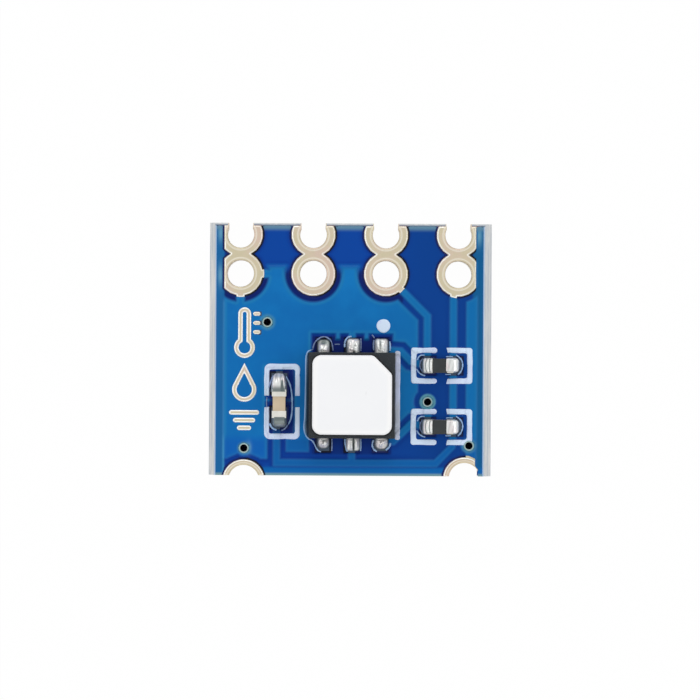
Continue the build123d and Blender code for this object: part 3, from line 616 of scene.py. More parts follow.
# Solder mask: a film that follows the foil under it
maskLook = {
    "spacing": 0.036,
    "stepWidth": 0.05,
    "rimRoll": 0.03,
    "softness": (0.05, 0.13),  # of the copper's edge: anywhere, and more at the field's upper end
    "overCopper": tone(18, 118, 188),
    "overCopperLow": tone(14, 106, 178),
    "overCopperFoot": tone(12, 92, 166),
    "corner": tone(10, 84, 178),
    "track": tone(28, 120, 180),
    "overCopperEast": tone(14, 106, 170),
    "openLaminate": tone(8, 68, 158),
    "openEast": tone(6, 62, 138),
    "gap": tone(4, 54, 142),
    # dark navy: the thick film in narrow hollows, deepened as painted shade
    "narrowGapShade": tone(8, 32, 104),
    "leftMargin": tone(26, 100, 160),
    "rightMargin": tone(16, 92, 146),
    "footMargin": tone(10, 98, 172),
    "footEdge": tone(130, 166, 162),
    "headEdge": tone(100, 140, 162),
    # painted highlight along the film's step over copper edges
    "stepHighlight": tone(64, 146, 194),
    "patch": tone(116, 176, 200),
    "viaGlow": tone(92, 150, 164),
    # of the glow round each via: where it is full, where it ends, and its strength
    "viaReach": ((0.15, 0.34, 0.6), (0.15, 0.27, 0.6), (0.16, 0.32, 0.6), (0.255, 0.30, 0.9)),
    "leadField": (1.36, 1.44, 2.02),  # from the sensor's middle: half the width, and start and end
    "frameInset": (0.18, 0.23),
    # thin spots beside the outer header pads and beside via 2: place and reach
    "thinSpots": (
        (-4.55, 4.05, 0.09, 0.28), (-4.56, 2.58, 0.08, 0.34),
        (4.48, 3.99, 0.10, 0.32), (-3.54, -3.45, 0.09, 0.19),
    ),
    # margins, in from the film's sides: where each colour starts to fade, and where it has ended
    "leftReach": (0.24, 0.32),
    "rightReach": (0.30, 0.42),
    "footReach": (0.22, 0.36),
    "footEdgeReach": (0.04, 0.12),
    "headEdgeReach": (0.04, 0.22),
    "eastReach": (0.4, 2.8),  # across the board, where all colours turn duller
    "holeClear": 0.02,
    "roughness": 0.34,
    "specular": 0.09,
    "bump": (9000.0, 0.8, 0.0006),
}


def maskRaised(x, y, depth=None):
    # The film's level: low on the bare laminate, high on the foil, with an S-shaped step between
    depth = distanceTo(copperOutline, x, y) if depth is None else depth
    half = maskLook["stepWidth"] / 2
    return coreTop + maskFilm + smooth(-half - maskFilm, half - maskFilm, depth) * (foilTop - coreTop)


def maskColour(tree):
    # Bare ground and covered copper are coloured apart and joined by how much copper is below
    look = maskLook
    # bare ground; the narrow gaps round the pads carry painted shade
    bare = layered(tree, look["gap"], look, (
        ("openness", "openLaminate"), ("east", "openEast"), ("narrow", "narrowGapShade"),
        ("left", "leftMargin"), ("right", "rightMargin"), ("foot", "footMargin"),
    ))
    cloud = useGroup(tree, mottle, {"Color": look["overCopper"], "Scale": 260.0, "Amount": 0.12})
    covered = mixColour(tree, spread(tree, cloud["Cloud"], 0.45, 0.9), look["overCopperLow"], cloud["Color"])
    covered = layered(tree, covered, look, (
        ("track", "track"), ("east", "overCopperEast"), ("low", "overCopperFoot"), ("corner", "corner"),
    ))
    film = mixColour(tree, attribute(tree, "copper"), bare, covered)
    # painted shade inside the capacitor's frame and painted highlight along the copper's steps go over the
    # film
    return layered(tree, film, look, (
        ("framed", "narrowGapShade"), ("step", "stepHighlight"), ("thin", "patch"), ("via", "viaGlow"),
        ("headEdge", "headEdge"), ("footEdge", "footEdge"),
    ))


def maskSurvey(x, y):
    # How strong each colour is at a point: bells and S curves of its distance from edges and pads
    look = maskLook
    outlines = (copperOutline, fieldOutline, padOutline)
    depth, fieldDepth, padDepth = (distanceTo(outline, x, y) for outline in outlines)
    field, frameBox = nodeBox("ground_field_top"), nodeBox("legend_capacitor_frame")
    package = nodeBox("sensor_mould")
    fromLeft, fromRight = x - filmLow[0], filmHigh[0] - x
    fromFoot, fromHead = y - filmLow[1], filmHigh[1] - y
    upperEnd = np.exp(-((y - field[1][1]) / 0.2) ** 2) * smooth(0.02, 0.20, -padDepth)
    soft = look["softness"][0] + look["softness"][1] * upperEnd
    # painted highlight on the film's step over the copper, strongest along the field's left edge
    leftEdgeHighlight = np.exp(-((x - field[0][0]) / 0.035) ** 2) * smooth(1.8, 1.6, y)
    leftEdgeHighlight *= 0.45 + 0.4 * smooth(-2.9, -3.2, y)
    shoulder = np.exp(-((depth - 0.02) / 0.03) ** 2)
    # the ring between a pad and the field is darkest, partly from the thicker film in that hollow and partly
    # as painted shade; the ground between the leads gets the same dark colour
    ring = smooth(0.46, 0.34, np.maximum(-fieldDepth, 0) + np.maximum(-padDepth, 0))
    ring *= smooth(field[1][1] + 0.06, field[1][1] - 0.3, y) * smooth(-3.2, -2.8, y)
    # painted shadow: a dark line beside each pad's window
    beside = 0.7 * smooth(0.12, 0.04, -padDepth) * smooth(4.5, 4.36, abs(x))
    ring = np.maximum(ring, beside)
    half, start, end = look["leadField"]
    across = abs(x - (package[0][0] + package[1][0]) / 2)
    along = abs(y - (package[0][1] + package[1][1]) / 2)
    leadField = smooth(half + 0.06, half, across) * smooth(start, start + 0.04, along)
    leadField *= smooth(end + 0.1, end, along)
    # painted shade inside the capacitor's frame
    frameMiddle, frameSize = (frameBox[0] + frameBox[1]) / 2, frameBox[1] - frameBox[0]
    inset = look["frameInset"]
    framed = boxGap(x, y, frameMiddle, frameSize[0] - 2 * inset[0], frameSize[1] - 2 * inset[1], 0.05)
    glows = [
        strength * smooth(far, near, np.hypot(x - place[0], y - place[1]))
        for place, (near, far, strength) in zip(viaPlaces, look["viaReach"])
    ]
    thin = [np.exp(-((x - cx) / rx) ** 2 - ((y - cy) / ry) ** 2) for cx, cy, rx, ry in look["thinSpots"]]
    return {
        "depth": depth,
        "copper": smooth(-soft - 0.02, soft, depth),
        "openness": np.maximum(smooth(0.04, 0.25, -depth), upperEnd),
        "narrow": np.maximum(ring, leadField * (1 - 0.35 * smooth(-1.5, -2, y))),
        "east": 0.8 * smooth(*look["eastReach"], x),
        "left": 1 - smooth(*look["leftReach"], fromLeft),
        "right": 1 - smooth(*look["rightReach"], fromRight),
        "foot": (1 - smooth(*look["footReach"], fromFoot)) * smooth(-3.3, -3.0, x),
        "low": 0.85 * smooth(-2.95, -3.25, y) * smooth(-2.9, -2.7, x),
        "corner": 0.6 * smooth(-2.9, -3.3, y) * smooth(-2.8, -3.05, x) * smooth(-4.44, -4.40, x),
        "footEdge": 0.8 * (1 - smooth(*look["footEdgeReach"], fromFoot)),
        "headEdge": 0.9 * (1 - smooth(*look["headEdgeReach"], fromHead)),
        "step": np.maximum(0.12 * shoulder * (1 - upperEnd), leftEdgeHighlight),
        "thin": 0.65 * np.max(thin, 0) * np.maximum(smooth(-0.02, 0.05, -depth), smooth(0, -1, y)),
        "via": np.max(glows, 0),
        "track": smooth(0.15, 0.05, depth) * smooth(0.0, 0.05, depth),
        "framed": 0.85 * smooth(-0.02, 0.02, framed),
    }


def maskMaterial(name, colour):
    return makeMaterial(
        name, colour, maskLook["roughness"], specular=maskLook["specular"], bump=maskLook["bump"]
    )


def buildMask():
    look = maskLook

    def distance(x, y):
        # the film also covers the rightmost pads beyond a straight line
        sides = [x - sideEdge, filmHigh[0] - x, filmHigh[1] - y, y - filmLow[1]]
        covering = np.min([*sides, fromHoles(x, y) - look["holeClear"]], 0)
        return np.maximum(distanceTo(maskOutline, x, y), covering)

    def height(x, y, gap, marks):
        fall = 0.65 * maskFilm * (1 - rollOver(gap, look["rimRoll"]))
        return maskRaised(x, y, marks["depth"]) - fall + 0.0012 * ripple(x, y, 0.9, 3)

    material = maskMaterial("solder_mask", maskColour)
    piece = sheet(
        "mask_film", distance, filmLow, filmHigh, look["spacing"], height, material, coreTop, maskSurvey
    )
    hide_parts("solder_mask_top")


def undersideColour(tree):
    # The lower film's height tells whether there is copper above it
    place = addNode(tree, "ShaderNodeTexCoord").outputs["Object"]
    height = addNode(tree, "ShaderNodeSeparateXYZ", {0: place}).outputs["Z"]
    copper = spread(tree, height, 0.028 * mm, 0.008 * mm)
    cloud = useGroup(tree, mottle, {"Color": maskLook["overCopper"], "Scale": 260.0, "Amount": 0.14})["Color"]
    return mixColour(tree, copper, maskLook["openLaminate"], cloud)


buildMask()
dress(["solder_mask_bottom"], maskMaterial("solder_mask_below", undersideColour))
print("solder mask done")


# Laminate: glass cloth in pale resin at the broken edges, and painted shade under the mask's openings
laminateLook = {
    "resin": tone(208, 211, 212),
    "fibre": tone(222, 222, 220),
    "shade": tone(192, 198, 204),
    "tinted": tone(150, 186, 228),
    # painted shade seen through the mask's openings, and its lighter, lit side
    "windowShade": tone(5, 10, 34),
    "windowShadeLit": tone(14, 30, 96),
    "sawn": tone(66, 82, 92),
    "burr": tone(130, 104, 110),
    "wettedFoil": tone(66, 80, 98),
    "plyPitch": 0.19,
    "streaks": (9000.0, 700.0, 9000.0),  # scale of the glass threads along each axis
    "roughness": 0.75,
}


def laminateColour(tree):
    look = laminateLook
    place = addNode(tree, "ShaderNodeTexCoord").outputs["Object"]
    axes = addNode(tree, "ShaderNodeSeparateXYZ", {0: place}).outputs
    plies = mathNode(tree, "MULTIPLY", axes["Z"], 2 * pi / (look["plyPitch"] * mm))
    strands = addNode(tree, "ShaderNodeTexNoise", {"Vector": place, "Scale": 5200.0, "Detail": 3.0}).outputs[0]
    weave = mathNode(tree, "SINE", mathNode(tree, "MULTIPLY_ADD", strands, 4.0, plies))
    cloth = mixColour(tree, spread(tree, weave, -1.0, 1.0), look["shade"], look["resin"])
    stretched = addNode(tree, "ShaderNodeMapping", {"Vector": place, "Scale": look["streaks"]}).outputs[0]
    threads = addNode(tree, "ShaderNodeTexNoise", {"Vector": stretched, "Scale": 1.0, "Detail": 4.0})
    cloth = mixColour(tree, spread(tree, threads.outputs[0], 0.45, 0.65), cloth, look["fibre"])
    # beside the mask the scored flanks are tinted blue
    middle, half = (filmLow + filmHigh) / 2, (filmHigh - filmLow) / 2
    fromMiddle = mathNode(tree, "ABSOLUTE", mathNode(tree, "SUBTRACT", axes["X"], middle[0] * mm))
    inner = spread(tree, fromMiddle, (half[0] + 0.09) * mm, (half[0] + 0.01) * mm)
    upper = spread(tree, axes["Z"], (coreTop - 0.16) * mm, (coreTop - 0.01) * mm)
    tinted = mixColour(tree, mathNode(tree, "MULTIPLY", inner, upper), cloth, look["tinted"])
    # the bevel of the header edge is greyer, and has burrs beside each cut hole
    bevel = spread(tree, axes["Y"], (filmHigh[1] - 0.02) * mm, (filmHigh[1] + 0.02) * mm)
    sawn = mixColour(tree, mathNode(tree, "MULTIPLY", bevel, upper), tinted, look["sawn"])
    pitch = header["pitch"] * mm
    offset = mathNode(tree, "SUBTRACT", axes["X"], headerX[0] * mm - pitch / 2)
    around = mathNode(tree, "SUBTRACT", mathNode(tree, "FLOORED_MODULO", offset, pitch), pitch / 2)
    mouth = spread(tree, mathNode(tree, "ABSOLUTE", around), 0.82 * mm, 0.70 * mm)
    beside = mathNode(tree, "MULTIPLY", mouth, bevel)
    ragged = mathNode(tree, "MULTIPLY", spread(tree, strands, 0.3, 0.5), beside)
    edged = mixColour(tree, mathNode(tree, "MULTIPLY", ragged, upper), sawn, look["burr"])
    # under the windows the flat faces are painted dark as shade, with painted light to the left of each hole
    flatTop = mathNode(tree, "GREATER_THAN", axes["Z"], (boardHigh[2] - 0.002) * mm)
    flatFoot = mathNode(tree, "LESS_THAN", axes["Z"], (boardLow[2] + 0.002) * mm)
    windowShade = mixColour(tree, spread(tree, around, -0.1 * mm, 0.35 * mm), look["windowShadeLit"], look["windowShade"])
    return mixColour(tree, mathNode(tree, "MAXIMUM", flatTop, flatFoot), edged, windowShade)


dress(["laminate_core"], makeMaterial(
    "laminate", laminateColour, laminateLook["roughness"], specular=0.3, bump=(5200.0, 1.5, 0.006)
))
dress(topFoils + ["ground_field_bottom", "clock_track_bottom"], makeMaterial(
    "wetted_foil", clouded(laminateLook["wettedFoil"], 900.0, 0.5), 0.35,
    metallic=0.4, bump=(6000.0, 1.0, 0.002),
))
print("laminate done")


# Plated pads: a thin layer over each terminal's copper, with rounded rims
padLook = {
    "spacing": 0.022,
    "lap": 0.008,
    "rim": 0.042,
    "rise": 0.012,
    "bead": 0.006,
    "colour": tone(214, 203, 172),
    "warm": tone(220, 198, 180),
    # painted highlight on the pads' rims
    "rimHighlight": tone(252, 251, 246),
    # painted highlight ring near each hole, and painted shade at the hole's edge
    "holeRimHighlight": tone(246, 240, 224),
    "holeEdgeShade": tone(168, 156, 140),
    "tan": tone(204, 172, 138),
    "holeRimAt": (0.075, 0.022),  # the bright line round a hole: distance from it and reach
    "outerRadius": 0.73,  # of the half-holes' pads
    "roughness": 0.36,
    "bump": (7000.0, 1.2, 0.0012),
}


def padColour(tree):
    look = padLook
    cloud = useGroup(tree, mottle, {"Color": look["colour"], "Scale": 620.0, "Amount": 0.16})
    flat = mixColour(tree, spread(tree, cloud["Cloud"], 0.6, 0.85), cloud["Color"], look["warm"])
    # tan, then painted light: a highlight ring near each hole, a shade line at its edge, highlights on the
    # rims
    return layered(tree, flat, look, (
        ("tan", "tan"), ("inner", "holeRimHighlight"), ("edge", "holeEdgeShade"), ("rim", "rimHighlight"),
    ))


platedMaterial = makeMaterial(
    "plating", padColour, padLook["roughness"], metallic=0.4, bump=padLook["bump"]
)


def platedSheet(name, distance, low, high, top, foot, drop=0.032):
    # The rim is a quarter circle that falls by the drop, with a low bead just inside it
    def height(x, y, gap, marks):
        bead = padLook["bead"] * np.exp(-((gap / padLook["rim"] - 1.4)) ** 2)
        return top - drop * (1 - rollOver(gap, padLook["rim"])) + bead

    def survey(x, y):
        away = fromHoles(x, y)
        line, reach = padLook["holeRimAt"]
        offset = (x - headerX[0] + header["pitch"] / 2) % header["pitch"] - header["pitch"] / 2
        # painted highlight on each rim, weaker on the right side of each pad in the upper rows; a painted
        # highlight ring near each hole and a painted shade line at its edge
        beside = smooth(0.10, 0.14, away) * (1 - 0.5 * smooth(0.2, 0.6, offset) * smooth(-3, 0, y))
        tan = np.exp(-((away - 0.09) / 0.05) ** 2) * smooth(-3.0, -3.4, y) * (0.35 + 0.5 * smooth(0, 1, x))
        return {
            "rim": beside * (1 - smooth(0.8, 1.5, distance(x, y) / padLook["rim"])),
            "inner": 0.85 * np.exp(-((away - line) / reach) ** 2),
            "edge": 0.6 * smooth(0.03, 0.0, away) * smooth(-3.0, 0, y),
            "tan": tan,
        }

    piece = sheet(name, distance, low, high, padLook["spacing"], height, platedMaterial, foot, survey)
    return piece


def buildPads():
    lap, top = padLook["lap"], foilTop + padLook["rise"]
    for name in terminals:
        outline = trueOutline([name], [foilTop])

        def terminalGap(x, y):
            pad = np.minimum(distanceTo(outline, x, y), fromHoles(x, y)) + lap
            return np.minimum(pad, sideEdge - x)

        platedSheet(f"{name}_plating", terminalGap, *nodeBox(name), top, coreTop)
    for name, place in zip(halfHoles, halfHolePlaces):

        def halfHoleGap(x, y):
            ring = np.minimum(ringGap(x, y, place, padLook["outerRadius"]), fromHoles(x, y)) + lap
            return np.min([ring, y - boardLow[1], sideEdge - x], 0)

        platedSheet(f"{name}_plating", halfHoleGap, *nodeBox(name), top, coreTop)
    dress(terminals + halfHoles, platedMaterial)


buildPads()
print("pads done")


# Symbols: a thermometer, a drop and level bars in bare plated strokes
symbolLook = {
    "stroke": 0.15,
    "stemWidth": 0.44,
    "stemLength": 1.18,
    "bulbRadius": 0.36,
    "tickPitch": 0.32,
    "tickLength": 0.13,
    "dropRadius": 0.42,
    "dropHeight": 0.92,
    "barLengths": (1.02, 0.74, 0.46),
    "barPitch": 0.27,
    "dropRise": 0.80,  # from the longest bar up to the drop's middle
}


def buildSymbols():
    look = symbolLook
    low, high = nodeBox("symbol_plating")
    stroke = look["stroke"]
    middle = low[0] + look["barLengths"][0] / 2
    barTop = low[1] + stroke / 2 + 2 * look["barPitch"]
    stemTop = high[1] - look["stemWidth"] / 2
    bulb = stemTop - look["stemLength"]
    drop = barTop + look["dropRise"]

    def hollow(depth):
        return stroke / 2 - abs(depth - stroke / 2)

    def dropDepth(x, y):
        # a circle with two tangents that meet in the peak
        radius, peak = look["dropRadius"], look["dropHeight"]
        lean = np.arcsin(radius / peak)
        sides = (peak - (y - drop)) * np.sin(lean) - abs(x - middle) * np.cos(lean)
        return np.where(y - drop > radius * np.sin(lean), sides, ringGap(x, y, (middle, drop), radius))

    def distance(x, y):
        stem = strokeGap(x, y, [(middle, bulb), (middle, stemTop)], look["stemWidth"])
        parts = [hollow(np.maximum(stem, ringGap(x, y, (middle, bulb), look["bulbRadius"])))]
        parts.append(hollow(dropDepth(x, y)))
        tickStart = middle + look["stemWidth"] / 2 + 0.9 * stroke
        for i in range(3):
            level = stemTop - i * look["tickPitch"]
            ends = [(tickStart, level), (tickStart + look["tickLength"], level)]
            parts.append(strokeGap(x, y, ends, 0.85 * stroke))
        for i, length in enumerate(look["barLengths"]):
            reach, level = length / 2 - 0.4 * stroke, barTop - i * look["barPitch"]
            parts.append(strokeGap(x, y, [(middle - reach, level), (middle + reach, level)], stroke))
        return np.max(parts, 0) + padLook["lap"]

    piece = platedSheet("symbol_strokes", distance, low, high, maskTop + 0.006, foilTop, drop=0.02)
    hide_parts("symbol_plating")


buildSymbols()
print("symbols done")


# Via rims: a rounded ring round each drilled hole, from the mask down into the hole
viaLook = {
    "hole": 0.127,
    "rim": 0.192,
    "turns": 60,
    "rows": 9,
    "colour": tone(172, 190, 186),
    "outer": tone(96, 150, 164),
    # near-black painted shade inside the hole
    "inside": tone(12, 10, 10),
}


def viaColour(tree):
    bare = useGroup(tree, mottle, {"Color": viaLook["colour"], "Scale": 2500.0, "Amount": 0.6})["Color"]
    return mixColour(tree, attribute(tree, "outer"), bare, viaLook["outer"])


def buildVias():
    look = viaLook
    bare = makeMaterial("via_rim", viaColour, 0.45, metallic=0.2, bump=(9000.0, 1.0, 0.002))
    # the hole's wall is painted near-black as the shade deep in the hole
    dress(vias, makeMaterial("via_wall_shade", clouded(look["inside"], 2000.0, 0.5), 0.8, specular=0.1))
    turns, rows = look["turns"], look["rows"]
    angle = np.linspace(0, 2 * pi, turns, endpoint=False)[:, None]
    arc = np.linspace(0, pi, rows)[None]
    half = (look["rim"] - look["hole"]) / 2
    for name, place in zip(vias, viaPlaces):
        top = nodeBox(name)[1][2]
        # the section is half an ellipse between hole and rim, a little uneven round the ring
        radius = look["hole"] + half * (1 - np.cos(arc)) + 0.006 * np.sin(3 * angle + place[0]) * np.sin(arc)
        rise = (maskTop - top + 0.004) * (1 + 0.12 * np.sin(2 * angle + place[1]))
        z = top + 0.004 + rise * np.sin(arc) ** 0.7
        x, y = place[0] + radius * np.cos(angle), place[1] + radius * np.sin(angle)
        wall = np.stack([x[:, 0], y[:, 0], np.full(turns, top - 0.12)], -1)[:, None]
        points = np.concatenate([wall, np.stack([x, y, z], -1)], 1).reshape(-1, 3)
        index = np.arange(turns * (rows + 1)).reshape(turns, rows + 1)
        after = np.roll(index, -1, 0)
        faces = np.stack([index[:, :-1], index[:, 1:], after[:, 1:], after[:, :-1]], -1).reshape(-1, 4)
        piece = setMesh(f"{name}_rim", points, faces.tolist(), bare)
        setMark(piece, "outer", smooth(0.022, 0.045, np.hypot(*(points[:, :2] - place).T) - look["hole"]))


buildVias()
print("vias done")


# Printed legend: strokes of ink with uneven edges, lying over the mask's steps
inkLook = {
    "spacing": 0.022,
    "thick": 0.02,
    "edgeRoll": 0.05,
    "uneven": 0.007,
    "bracketStroke": 0.185,
    "bracketTrim": 0.03,  # off the top and foot of the brackets
    "bracketGap": 0.33,
    "frameStroke": 0.17,
    "frameEndStroke": 0.20,
    "frameTrim": 0.025,
    "frameGap": 0.39,
    "barTrim": 0.035,
    "dotRadius": 0.24,
    "viaClear": 0.172,
    "colour": tone(216, 233, 254),
    "shade": tone(208, 218, 248),
    "barColour": tone(192, 200, 216),
    "roughness": 0.6,
}


def inkMaterial(name, colour):
    def inkColour(tree):
        cloud = useGroup(tree, mottle, {"Color": colour, "Scale": 1100.0, "Amount": 0.10})
        tint = spread(tree, cloud["Cloud"], 0.62, 0.85, 0.0, 0.8)
        return mixColour(tree, tint, cloud["Color"], inkLook["shade"])

    return makeMaterial(name, inkColour, inkLook["roughness"], specular=0.3, bump=(8000.0, 1.0, 0.002))


def inkSheet(node, shape, seed, material):
    low, high = nodeBox(node)

    def distance(x, y):
        holes = np.min([np.hypot(x - place[0], y - place[1]) for place in viaPlaces], 0)
        gap = shape(x, y) + inkLook["uneven"] * ripple(x, y, 0.45, seed)
        return np.minimum(gap, holes - inkLook["viaClear"])

    def height(x, y, gap, marks):
        return maskRaised(x, y) + inkLook["thick"] * rollOver(gap, inkLook["edgeRoll"])

    foot = coreTop + maskFilm
    piece = sheet(f"{node}_ink", distance, low, high, inkLook["spacing"], height, material, foot)
    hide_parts(node)


def bracketShape(node):
    # The left bracket's arms end round, the right one's are cut on a slant
    low, high = nodeBox(node)
    stroke, trim = inkLook["bracketStroke"], np.array([0, inkLook["bracketTrim"], 0])
    low, high = low + trim, high - trim
    middle, half = (low + high) / 2, inkLook["bracketGap"] / 2
    foot, top = low[1] + stroke / 2, high[1] - stroke / 2

    def shape(x, y):
        outer = boxGap(x, y, middle, high[0] - low[0], high[1] - low[1], 0.10)
        inner = boxGap(x, y, middle, high[0] - low[0] - 2 * stroke, high[1] - low[1] - 2 * stroke, 0.09)
        frame = np.minimum(outer, -inner)
        slant = 0.2 * (abs(y - middle[1]) - abs(top - middle[1]))
        right = np.minimum(frame, x - middle[0] - half - 0.02 + slant)
        end = middle[0] - half - stroke / 2
        arms = [strokeGap(x, y, [(low[0] + stroke, level), (end, level)], stroke) for level in (foot, top)]
        left = np.maximum(np.minimum(frame, low[0] + 2 * stroke - x), np.max(arms, 0))
        return np.maximum(left, right)

    return shape


def frameShape(node):
    # A rounded frame with a gap in the middle of both long sides
    low, high = nodeBox(node)
    side, end, gap = inkLook["frameStroke"], inkLook["frameEndStroke"], inkLook["frameGap"]
    middle, size = (low + high) / 2, high - low - (0, 2 * inkLook["frameTrim"], 0)

    def shape(x, y):
        outer = boxGap(x, y, middle, size[0], size[1], 0.20)
        inner = boxGap(x, y, middle, size[0] - 2 * side, size[1] - 2 * end, 0.07)
        return np.minimum(np.minimum(outer, -inner), abs(y - middle[1]) - gap / 2)

    return shape


def buildLegend():
    ink = inkMaterial("legend_ink", inkLook["colour"])
    for number in (1, 2):
        node = f"legend_resistor_{number}_brackets"
        inkSheet(node, bracketShape(node), 10 + number, ink)
    inkSheet("legend_capacitor_frame", frameShape("legend_capacitor_frame"), 21, ink)
    low, high = nodeBox("legend_sensor_bar")
    high = high - (inkLook["barTrim"], 0, 0)
    middle, size = (low + high) / 2, high - low
    barInk = inkMaterial("legend_bar_ink", inkLook["barColour"])
    inkSheet("legend_sensor_bar", lambda x, y: boxGap(x, y, middle, size[0], size[1], 0.07), 31, barInk)
    dotLow, dotHigh = nodeBox("legend_lead_1_dot")
    dot = (dotLow + dotHigh) / 2
    inkSheet("legend_lead_1_dot", lambda x, y: ringGap(x, y, dot, inkLook["dotRadius"]), 41, ink)


buildLegend()
print("legend done")


# Sensor: moulded body, metal leads and the filter cover
sensorLook = {
    "mould": tone(40, 45, 49),
    "cover": tone(249, 250, 252),
    "coverRim": tone(254, 254, 254),
    "speckColour": tone(212, 213, 214),
    # painted shadow round the cover's foot
    "joint": tone(16, 15, 17),
    "metal": tone(214, 214, 210),
    "die": tone(70, 72, 80),
    "mouldEdge": 0.02,
    "coverSpacing": 0.03,
    "coverBox": (312.7, 355.0, 391.5, 434.6),  # in pixels of the photograph, as is the faint mark
    "speck": (366.0, 393.0),
    "coverCorner": 0.32,
    "coverCut": 0.65,
    "coverBlend": 0.07,
    "coverRoll": 0.06,
    "coverCrown": 0.012,
    "shadowLineWidth": 0.05,
}


def coverGap(x, y):
    # A square with round corners, and the corner at lead 1 cut off by a smoothly blended line
    low, high = pixelBox(sensorLook["coverBox"])
    middle, size = (low + high) / 2, high - low
    body = boxGap(x, y, middle, size[0], size[1], sensorLook["coverCorner"])
    cut = (high[0] - x + high[1] - y - sensorLook["coverCut"]) / 2 ** 0.5
    blend = sensorLook["coverBlend"]
    mix = np.clip(0.5 + 0.5 * (body - cut) / blend, 0, 1)
    return body * (1 - mix) + cut * mix - blend * mix * (1 - mix)


def coverColour(tree):
    look = sensorLook
    cloud = useGroup(tree, mottle, {"Color": look["cover"], "Scale": 700.0, "Amount": 0.03})["Color"]
    return layered(tree, cloud, look, (("rim", "coverRim"), ("speck", "speckColour")))


def buildSensor():
    look = sensorLook
    low, high = nodeBox("sensor_cover")
    seat = nodeBox("sensor_mould")[1][2]
    speck = atPixel([look["speck"]])[0]

    def coverHeight(x, y, gap, marks):
        crown = look["coverCrown"] * (1 - smooth(0.0, 0.5, gap))
        return high[2] - crown - look["coverRoll"] * (1 - rollOver(gap, look["coverRoll"]))

    def coverSurvey(x, y):
        gap = coverGap(x, y)
        away = ((x - speck[0]) / 0.02) ** 2 + ((y - speck[1]) / 0.05) ** 2
        return {"rim": np.exp(-((gap - 0.10) / 0.07) ** 2), "speck": 0.35 * np.exp(-away)}

    material = makeMaterial("cover", coverColour, 0.62, specular=0.2, bump=(5000.0, 1.5, 0.0015))
    cover = sheet(
        "cover_film", coverGap, low, high, look["coverSpacing"], coverHeight, material, seat, coverSurvey
    )
    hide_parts("sensor_cover")

    # a painted shadow: a dark line round the cover's foot
    def shadowLineGap(x, y):
        gap = coverGap(x, y)
        return np.minimum(gap + look["shadowLineWidth"], 0.04 - gap)

    def shadowLineHeight(x, y, gap, marks):
        return seat + 0.004 + 0.02 * smooth(0.0, 0.03, gap)

    shadowPaint = makeMaterial("cover_painted_shadow", clouded(look["joint"], 3000.0, 0.4), 0.5, specular=0.3)
    bodyLow, bodyHigh = nodeBox("sensor_mould")
    joint = sheet("cover_shadow_line", shadowLineGap, bodyLow, bodyHigh, 0.02, shadowLineHeight, shadowPaint, seat)

    black, bright = clouded(look["mould"], 1600.0, 0.35, 0.4), clouded(look["metal"], 2000.0, 0.2)
    mould = makeMaterial("mould", black, 0.55, specular=0.3, bump=(7000.0, 1.5, 0.004))
    metal = makeMaterial("lead_metal", bright, 0.3, metallic=0.9, bump=(7000.0, 1.0, 0.002))
    silicon = makeMaterial("die", clouded(look["die"], 2500.0, 0.3), 0.25, metallic=0.3)
    softCopy("sensor_mould", look["mouldEdge"], mould)
    dress(["sensor_leads", "sensor_die_pad"], metal)
    dress(["sensor_die"], silicon)


buildSensor()
print("sensor done")


# Solder: a lumpy bead on each land, high against the metal it wets. Every box is in pixels of
# the photograph, and every lump is across, along, their spreads and a height, in shares of the box
solderLook = {
    "spacing": 0.013,
    "bright": tone(238, 240, 238),
    "warm": tone(236, 228, 228),
    # grey that is partly dull solder and partly painted shade
    "dull": tone(100, 112, 112),
    "roughness": 0.28,
    "leadRise": 0.20,
    "tuck": 0.10,
}
leadJoints = {
    1: {"box": (317.6, 339.6, 330.0, 351.4), "corner": 0.13, "lumps": (
        (-0.20, -0.12, 0.16, 0.22, 0.07), (0.17, -0.22, 0.15, 0.16, 0.09), (0.0, 0.30, 0.4, 0.14, -0.05))},
    2: {"box": (346.6, 338.4, 360.0, 352.4), "corner": 0.12, "lumps": (
        (-0.25, 0.05, 0.16, 0.35, 0.06), (0.22, 0.28, 0.20, 0.18, 0.06), (0.05, -0.40, 0.07, 0.12, -0.12),
        (0.28, -0.2, 0.12, 0.2, 0.05))},
    3: {"box": (374.6, 338.4, 388.4, 352.8), "corner": 0.12, "lumps": (
        (-0.28, 0.15, 0.12, 0.4, 0.06), (0.10, -0.05, 0.20, 0.25, 0.05), (0.12, -0.36, 0.12, 0.12, 0.07),
        (-0.08, 0.1, 0.05, 0.3, -0.05))},
    4: {"box": (317.4, 438.0, 329.4, 448.6), "corner": 0.18, "lumps": (
        (-0.08, 0.22, 0.12, 0.14, 0.08), (0.2, 0.12, 0.12, 0.2, 0.06), (0.05, -0.12, 0.16, 0.08, -0.04))},
    5: {"box": (345.8, 438.0, 360.2, 451.2), "corner": 0.12, "lumps": (
        (-0.34, -0.1, 0.08, 0.5, 0.06), (-0.12, 0.0, 0.07, 0.5, 0.07), (0.04, 0.15, 0.04, 0.4, -0.16),
        (0.24, -0.1, 0.10, 0.35, 0.09))},
    6: {"box": (374.6, 438.0, 388.2, 449.4), "corner": 0.2, "lumps": (
        (-0.06, 0.15, 0.12, 0.2, 0.08), (0.16, -0.05, 0.1, 0.16, 0.06), (-0.25, -0.1, 0.08, 0.3, 0.04))},
}


def solderColour(tree):
    # bright solder as painted highlight, mixed with a grey that is partly dull solder and partly painted shade
    look = solderLook
    cloud = useGroup(tree, mottle, {"Color": look["bright"], "Scale": 2600.0, "Amount": 0.4})
    tint = spread(tree, cloud["Cloud"], 0.6, 0.75)
    bright = mixColour(tree, tint, cloud["Color"], look["warm"])
    return mixColour(tree, attribute(tree, "dull"), bright, look["dull"])


solderMaterial = makeMaterial(
    "solder", solderColour, solderLook["roughness"], metallic=0.4, bump=(3600.0, 1.5, 0.006)
)


